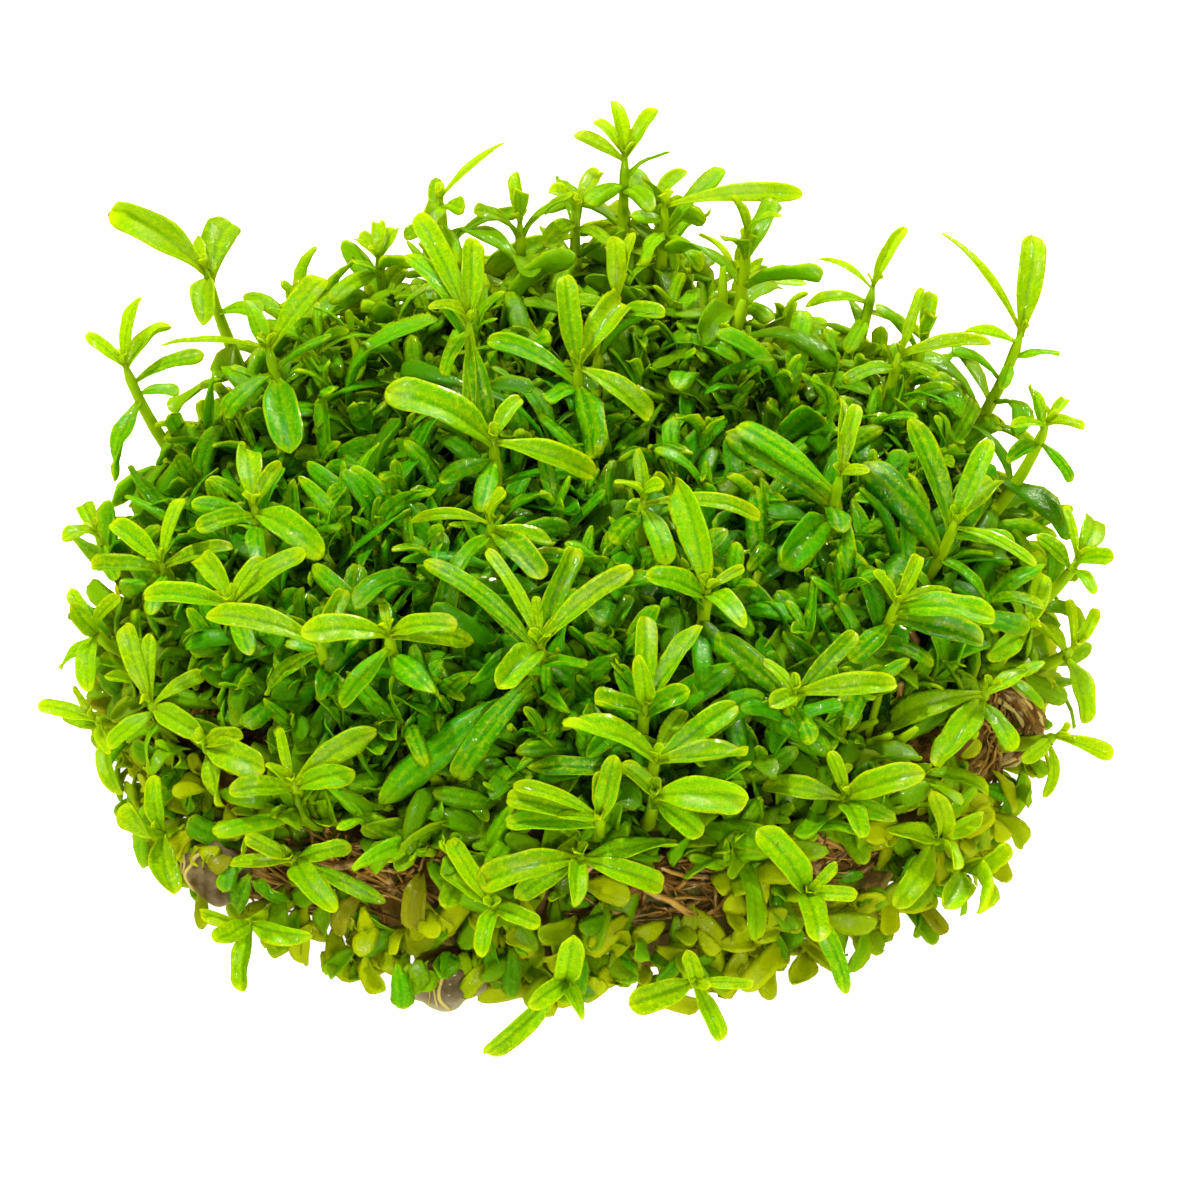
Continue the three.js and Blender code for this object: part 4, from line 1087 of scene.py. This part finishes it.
def tangle():
    """The closed inside of the cushion, dark with painted shade, seen only between the leaves"""
    points = []
    for r in range(TANGLE_ROWS + 1):
        share = EDGE_SHARE * r / TANGLE_ROWS
        for k in range(TANGLE_SIDES):
            turn = 2 * math.pi * k / TANGLE_SIDES
            x, y = CUSHION_RADIUS * share * math.cos(turn) * WIDER, CUSHION_RADIUS * share * math.sin(turn)
            points.append((x, y, max(MAT_HEIGHT, cushion_height(x, y) - tangle_depth(x, y))))
    foot = len(points)
    points += [(x * 0.97, y * 0.97, MAT_HEIGHT - 1) for x, y, _ in points[-TANGLE_SIDES:]]
    faces = ring_faces(TANGLE_ROWS + 2, TANGLE_SIDES, falling=True)
    faces.append([foot + k for k in reversed(range(TANGLE_SIDES))])
    build = Build()
    build.add(points, faces)
    build.finish("undergrowth_shade_tangle", ["undergrowth"], "young_leaf", [SHADE_TANGLE])


def old_stem(build, index):
    """A bare old stem that rises from the mat through the gaps"""
    foot = around(index * 2.1 * GOLDEN_ANGLE) * (CUSHION_RADIUS * random.uniform(0.3, EDGE_SHARE))
    lean = Vector((random.uniform(-3, 3), random.uniform(-3, 3), 0))
    top = foot + lean
    foot.z = MAT_HEIGHT - 0.5
    top.z = max(MAT_HEIGHT + 1, cushion_height(top.x, top.y) - random.uniform(1.5, 4))
    rise = Bend(foot, (foot + top) / 2 + lean * random.uniform(-0.5, 0.5), top)
    radius = random.uniform(0.3, 0.5)
    build.tube([rise.point(k / 4) for k in range(5)], [radius] * 4 + [0.6 * radius], 6, 1 + index % 2,
               tone=random.random())


def deep_leaves(sight):
    """Shaded leaves and old stems that close the gaps between the short shoots, most of them far out"""
    build = Build()
    for i in range(OLD_STEMS):
        old_stem(build, i)
    leaves = []
    for i in range(DEEP_LEAVES):
        out = around(i * GOLDEN_ANGLE)
        place = out * (CUSHION_RADIUS * 0.95 * ((i + 0.5) / DEEP_LEAVES) ** 0.38)
        deep = 0.8 * tangle_depth(place.x, place.y)
        base = place + Vector((0, 0, max(MAT_HEIGHT, cushion_height(place.x, place.y) - deep)))
        share = place.length / CUSHION_RADIUS
        way = Vector((random.uniform(-1, 1), random.uniform(-1, 1), random.uniform(0.1, 1)))
        way += out * share**2
        width = random.uniform(1.2, 1.9)
        tip = base + way.normalized() * (width * random.uniform(2.4, 3.4))
        # Their age of 0.45 to 0.8 keeps out the fresh light green, so they are dark: painted shade deep in
        # the clump
        leaf = Leaf(base, tip, out * share + Vector((0, 0, 1)), width, random.uniform(0.45, 0.8), wild=1)
        if in_box(leaf.tip) and sight.is_free(leaf):
            leaves.append(leaf)
    build.leaves(leaves, DEEP_LEAF)
    build.finish("undergrowth_deep", ["undergrowth"], "young_leaf", [LEAF, STEM, ROOT])


def short_tall_shoots():
    """The shoots of the picture that grow in the undergrowth"""
    build = Build()
    for index, (_, pixel, depth, rows) in enumerate(SHORT_SHOOTS):
        curve = pictured_stem(pixel, depth)
        stem_into(build, curve)
        leaves = [next(pictured_tries(curve, (px, py), width, below)) for px, py, width, below in rows]
        build.leaves(leaves + bud(curve, 0.8 * index), FINE_LEAF)
    build.finish("undergrowth_shoots", ["undergrowth"], "young_leaf", [LEAF, STEM])


# Old leaves round the foot of the mat

OLD_LEAVES = 1300
OLD_WILD = 0.5
JELLY_LEAVES = 10  # that hang over each lump


def old_leaves(sight):
    """The ring of old leaves, which point out and any way along the mat's side"""
    leaves = []
    for i in range(OLD_LEAVES):
        angle = i * GOLDEN_ANGLE
        height = 0.8 + (SKIRT_HEIGHT + 0.7) * random.random() ** 1.2
        out = Vector((math.cos(angle), math.sin(angle), 0))
        aside = Vector((-out.y, out.x, 0))
        bulge = math.sin(math.pi * min(1, height / SKIRT_HEIGHT))
        distance = MAT_RADIUS + random.uniform(-0.6, 0.6 + 1.6 * bulge)
        base = Vector((out.x * WIDER * distance, out.y * distance, height))
        way = out * random.uniform(0.1, 0.8) + aside * random.uniform(-1, 1)
        way.z = random.uniform(-0.9, 0.8)
        width = random.uniform(1.1, 1.9)
        tip = base + way.normalized() * (width * random.uniform(1.7, 2.8))
        tip.z = max(0.7, tip.z)
        facing = out + Vector((0, 0, random.uniform(0.2, 1.2)))
        leaf = Leaf(base, tip, facing, width, random.uniform(0.3, 1), OLD_WILD, twists=False)
        middle = (base + tip) / 2
        held = any(in_jelly(point, lump) for point in (base, middle, tip) for lump in JELLIES)
        if not is_bare(middle) and not held and sight.is_free(leaf):
            leaves.append(leaf)
    for lump in JELLIES:
        leaves += over_jelly(lump)
    build = Build()
    build.leaves(leaves, SMALL_LEAF)
    build.finish("old_leaves_grown", ["old_leaves"], "old_leaf", [OLD_LEAF])


# Lumps of jelly: name, middle, half sizes and turn
JELLIES = [
    ("jelly_front", Vector((-8.9, -32.2, 2.8)), (2.9, 2.2, 2.0), 0.25),
    ("jelly_left", Vector((-25.8, -23.0, 5.0)), (2.9, 2.1, 2.0), -0.8),
]


def in_jelly(point, lump):
    """Whether a point lies in a lump or just over its skin"""
    _, place, size, turn = lump
    away = point - place
    away.rotate(Quaternion((0, 0, 1), -turn))
    return sum((away[axis] / size[axis]) ** 2 for axis in range(3)) < 1.1


def over_jelly(lump):
    """Old leaves that hang over the top of a lump"""
    _, place, size, turn = lump
    spin = Quaternion((0, 0, 1), turn)
    leaves = []
    for k in range(JELLY_LEAVES):
        aside = -1.25 + 2.5 * k / (JELLY_LEAVES - 1)
        base = Vector((aside * size[0], 0.1 * size[1], random.uniform(0.85, 1.15) * size[2]))
        fall = random.uniform(-0.9, 0.1) - 2.6 * aside**2 * random.uniform(0.3, 0.8)
        tip = base + Vector((random.uniform(-1.2, 1.2), random.uniform(-2.2, -1.2), fall))
        facing = Vector((0.3 * aside, -0.6, 1))
        for way in (base, tip, facing):
            way.rotate(spin)
        width, age = random.uniform(1.3, 2), random.uniform(0.3, 0.9)
        leaves.append(Leaf(place + base, place + tip, facing, width, age, OLD_WILD, twists=False))
    return leaves


# Root mat

# The mat's outline from its underside up to its top, as distances from the middle and heights
MAT_PROFILE = [(14, 0), (26, 0), (28.4, 0.1), (29.7, 1.2), (30.2, 3), (30.3, 5.5), (30, 8), (28.8, 9.6),
               (26.5, 10.4), (20, 10.6), (10, 10.6)]
MAT_SIDES = 160
MAT_STRANDS = 220
BARE_STRANDS = 42
WOODY_STRANDS = 4  # of those in a bare place
KNOT_ROOTS = 22
ROOT_WIDTHS = (0.14, 0.18, 0.24, 0.36)
WOODY_WIDTH = 0.9
BARE_NUMBER = 300  # of the first strand of a bare place, which its wander follows


def mat_body(build):
    """The mat with dents all over its side and top"""
    points = []
    for radius, height in MAT_PROFILE:
        for k in range(MAT_SIDES):
            turn = 2 * math.pi * k / MAT_SIDES
            place = around(turn, radius, height)
            if height > 0.5:
                dent = lumpy(place, 2.2, 0.9) + lumpy(place, 5, 1.0) - 0.5
                place += Vector((math.cos(turn), math.sin(turn), 0.3)) * dent
            points.append(place)
    faces = ring_faces(len(MAT_PROFILE), MAT_SIDES)
    under, over, last = len(points), len(points) + 1, len(points) - MAT_SIDES
    points += [Vector((0, 0, 0)), Vector((0, 0, MAT_PROFILE[-1][1]))]
    for k in range(MAT_SIDES):
        after = (k + 1) % MAT_SIDES
        faces.append([under, after, k])
        faces.append([over, last + k, last + after])
    build.add(points, faces)


def root_mat():
    """The mat with strands all over it, more of them where it is bare, and its knot"""
    build = Build()
    mat_body(build)
    for i in range(MAT_STRANDS):
        root_strand(build, i, i * GOLDEN_ANGLE, random.uniform(1, 10.2), random.choice(ROOT_WIDTHS) / 2)
    for angle, half, low, high in BARE:
        for k in range(BARE_STRANDS):
            turn = math.radians(angle + random.uniform(-half, half))
            woody = k < WOODY_STRANDS
            thick = WOODY_WIDTH * random.uniform(0.6, 1) if woody else random.choice(ROOT_WIDTHS)
            height = random.uniform(low, min(high, MAT_HEIGHT))
            root_strand(build, BARE_NUMBER + k, turn, height, thick / 2)
    for k in range(KNOT_ROOTS):
        root_knot(build, k)
    build.finish("root_mat_grown", ["root_mat"], "root_mat", [MAT, ROOT])


def root_strand(build, number, angle, height, radius):
    """A root or old stem that wanders over the side of the mat"""
    drift = random.uniform(-1, 1) * random.uniform(0.1, 0.45)
    climb = random.uniform(-0.5, 0.5)
    out_by = random.uniform(0, 1.0)
    path = []
    for k in range(9):
        t = k / 8
        turn = angle + drift * (t - 0.5)
        wander = lumpy((4 * t, 0.37 * number + 3 * angle, 0), 1.0, 0.8)
        z = min(max(height + climb * 9 * (t - 0.5) + wander, 0.8), MAT_HEIGHT)
        away = MAT_RADIUS - 0.2 + out_by * math.sin(math.pi * t) + 0.6 * wander - 0.25 * max(0, z - 8) ** 1.5
        path.append(around(turn, away, z))
    build.tube(path, [radius] * 8 + [radius / 2], 7, 1, tone=random.random())


def root_knot(build, index):
    """One of the twisted old roots of the knot; every fifth is bleached"""
    path = []
    for k in range(9):
        t = k / 8
        turn = index * GOLDEN_ANGLE + 2.5 * t * (1 - 2 * (index % 2))
        away = KNOT_RADIUS * (0.4 + 0.4 * (index % 3) + lumpy((5 * t, index, 0), 1.0, 1.6))
        path.append(KNOT.point(t) + Vector((math.cos(turn), 0.6, math.sin(turn))) * away)
    radius = random.uniform(0.1, 0.34)
    build.tube(path, [radius] * 8 + [radius / 2], 7, 1, age=float(index % 5 == 0), tone=0.3 * random.random())


# Jelly

def on_jelly(way, place, size, spin, above=0.0):
    """The point of a jelly lump's dented skin in a direction from its middle"""
    reach = 1 + lumpy(way * 2 + place, 1.1, 0.28) + above
    point = Vector((way.x * size[0], way.y * size[1], way.z * size[2])) * reach
    point.rotate(spin)
    point += place
    point.z = max(point.z, 0.3)
    return point


# The roots on a jelly lump: where each starts and ends to the right of its middle, its bow and its radius
JELLY_ROOTS = [(0.05, -0.1, -0.4, 0.15), (-0.95, -0.45, 0.05, 0.09), (-1.2, -0.75, 0.1, 0.05)]


def jelly(name, place, size, turn):
    """A lump of jelly and the roots that it holds"""
    spin = Quaternion((0, 0, 1), turn)
    rows, sides = 26, 40
    points = []
    for r in range(rows + 1):
        flat, rise = math.sin(math.pi * r / rows), math.cos(math.pi * r / rows)
        for k in range(sides):
            turned = 2 * math.pi * k / sides
            way = Vector((flat * math.cos(turned), flat * math.sin(turned), rise))
            points.append(on_jelly(way, place, size, spin))
    build = Build()
    build.add(points, ring_faces(rows + 1, sides, falling=True))
    for start, end, bow, radius in JELLY_ROOTS:
        path = []
        for j in range(16):
            t = j / 15
            swing = 1.35 - 1.9 * t
            aside = start + (end - start) * t + bow * math.sin(math.pi * t)
            way = Vector((aside, -math.cos(swing), math.sin(swing))).normalized()
            path.append(on_jelly(way, place, size, spin, above=0.02))
        build.tube(path, [radius] * 15 + [0.4 * radius], 8, 1, age=1.0, tone=1.0)
    build.finish(name + "_lump", [name], "jelly", [JELLY, ROOT])


# Floor, light and camera

# Each lamp's name, place and size in metres, and power; all of them shine on one point
LAMPS = [
    ("key", (-0.2, 0.05, 0.6), 0.05, 3.7),
    ("back", (0.25, 0.4, 0.35), 0.06, 2.1),
    ("front", (0.15, -0.6, 0.35), 0.09, 2.1),
]
LIT = Vector((0, 0, 0.012))
LAMP_COLOUR = (1, 1, 0.7)
WORLD_COLOUR, WORLD_STRENGTH = (1, 1, 0.06, 1), 0.6
FLOOR_COLOUR, FLOOR_GLOW = (0.85, 0.85, 0.85, 1), 1.0  # it glows, so that it shows white
FLOOR_SIZE, FLOOR_DEPTH = 6, 0.00005  # in metres


def stage():
    """A white floor, a yellow-green world that fills the shade, the lamps and the camera"""
    bpy.ops.mesh.primitive_plane_add(size=FLOOR_SIZE, location=(0, 0, -FLOOR_DEPTH))
    floor = bpy.context.object
    floor.name = "floor"
    look = Look("floor")
    feed(look.shader, {"Base Color": FLOOR_COLOUR, "Roughness": 0.9,
                       "Emission Color": (1, 1, 1, 1), "Emission Strength": FLOOR_GLOW})
    floor.data.materials.append(look.material)
    floor.visible_glossy = False

    world = bpy.data.worlds.new("studio")
    world.use_nodes = True
    feed(world.node_tree.nodes["Background"], {"Color": WORLD_COLOUR, "Strength": WORLD_STRENGTH})
    bpy.context.scene.world = world

    for name, place, size, power in LAMPS:
        light = bpy.data.lights.new(name, "AREA")
        light.size = size
        light.energy = power
        light.color = LAMP_COLOUR
        into_scene(name, light, place, looking=LIT - Vector(place))

    camera = bpy.data.cameras.new("camera")
    camera.sensor_width = SENSOR
    camera.lens = SENSOR * PICTURE_DISTANCE * PICTURE_SCALE / PICTURE_SIZE
    camera.clip_start = 0.01
    bpy.context.scene.camera = into_scene("camera", camera, EYE * MM, looking=-TO_VIEWER)
    bpy.context.scene.view_settings.view_transform = "Standard"


stage()
open_sight = tall_shoots()
short_tall_shoots()
undergrowth("undergrowth_middle", 0, 0.66, 130, open_sight)
undergrowth("undergrowth_edge", 0.66, 0.86, 120, open_sight)
undergrowth("undergrowth_rim", 0.86, 0.97, 85, open_sight)
deep_leaves(open_sight)
tangle()
old_leaves(open_sight)
root_mat()
for lump in JELLIES:
    jelly(*lump)
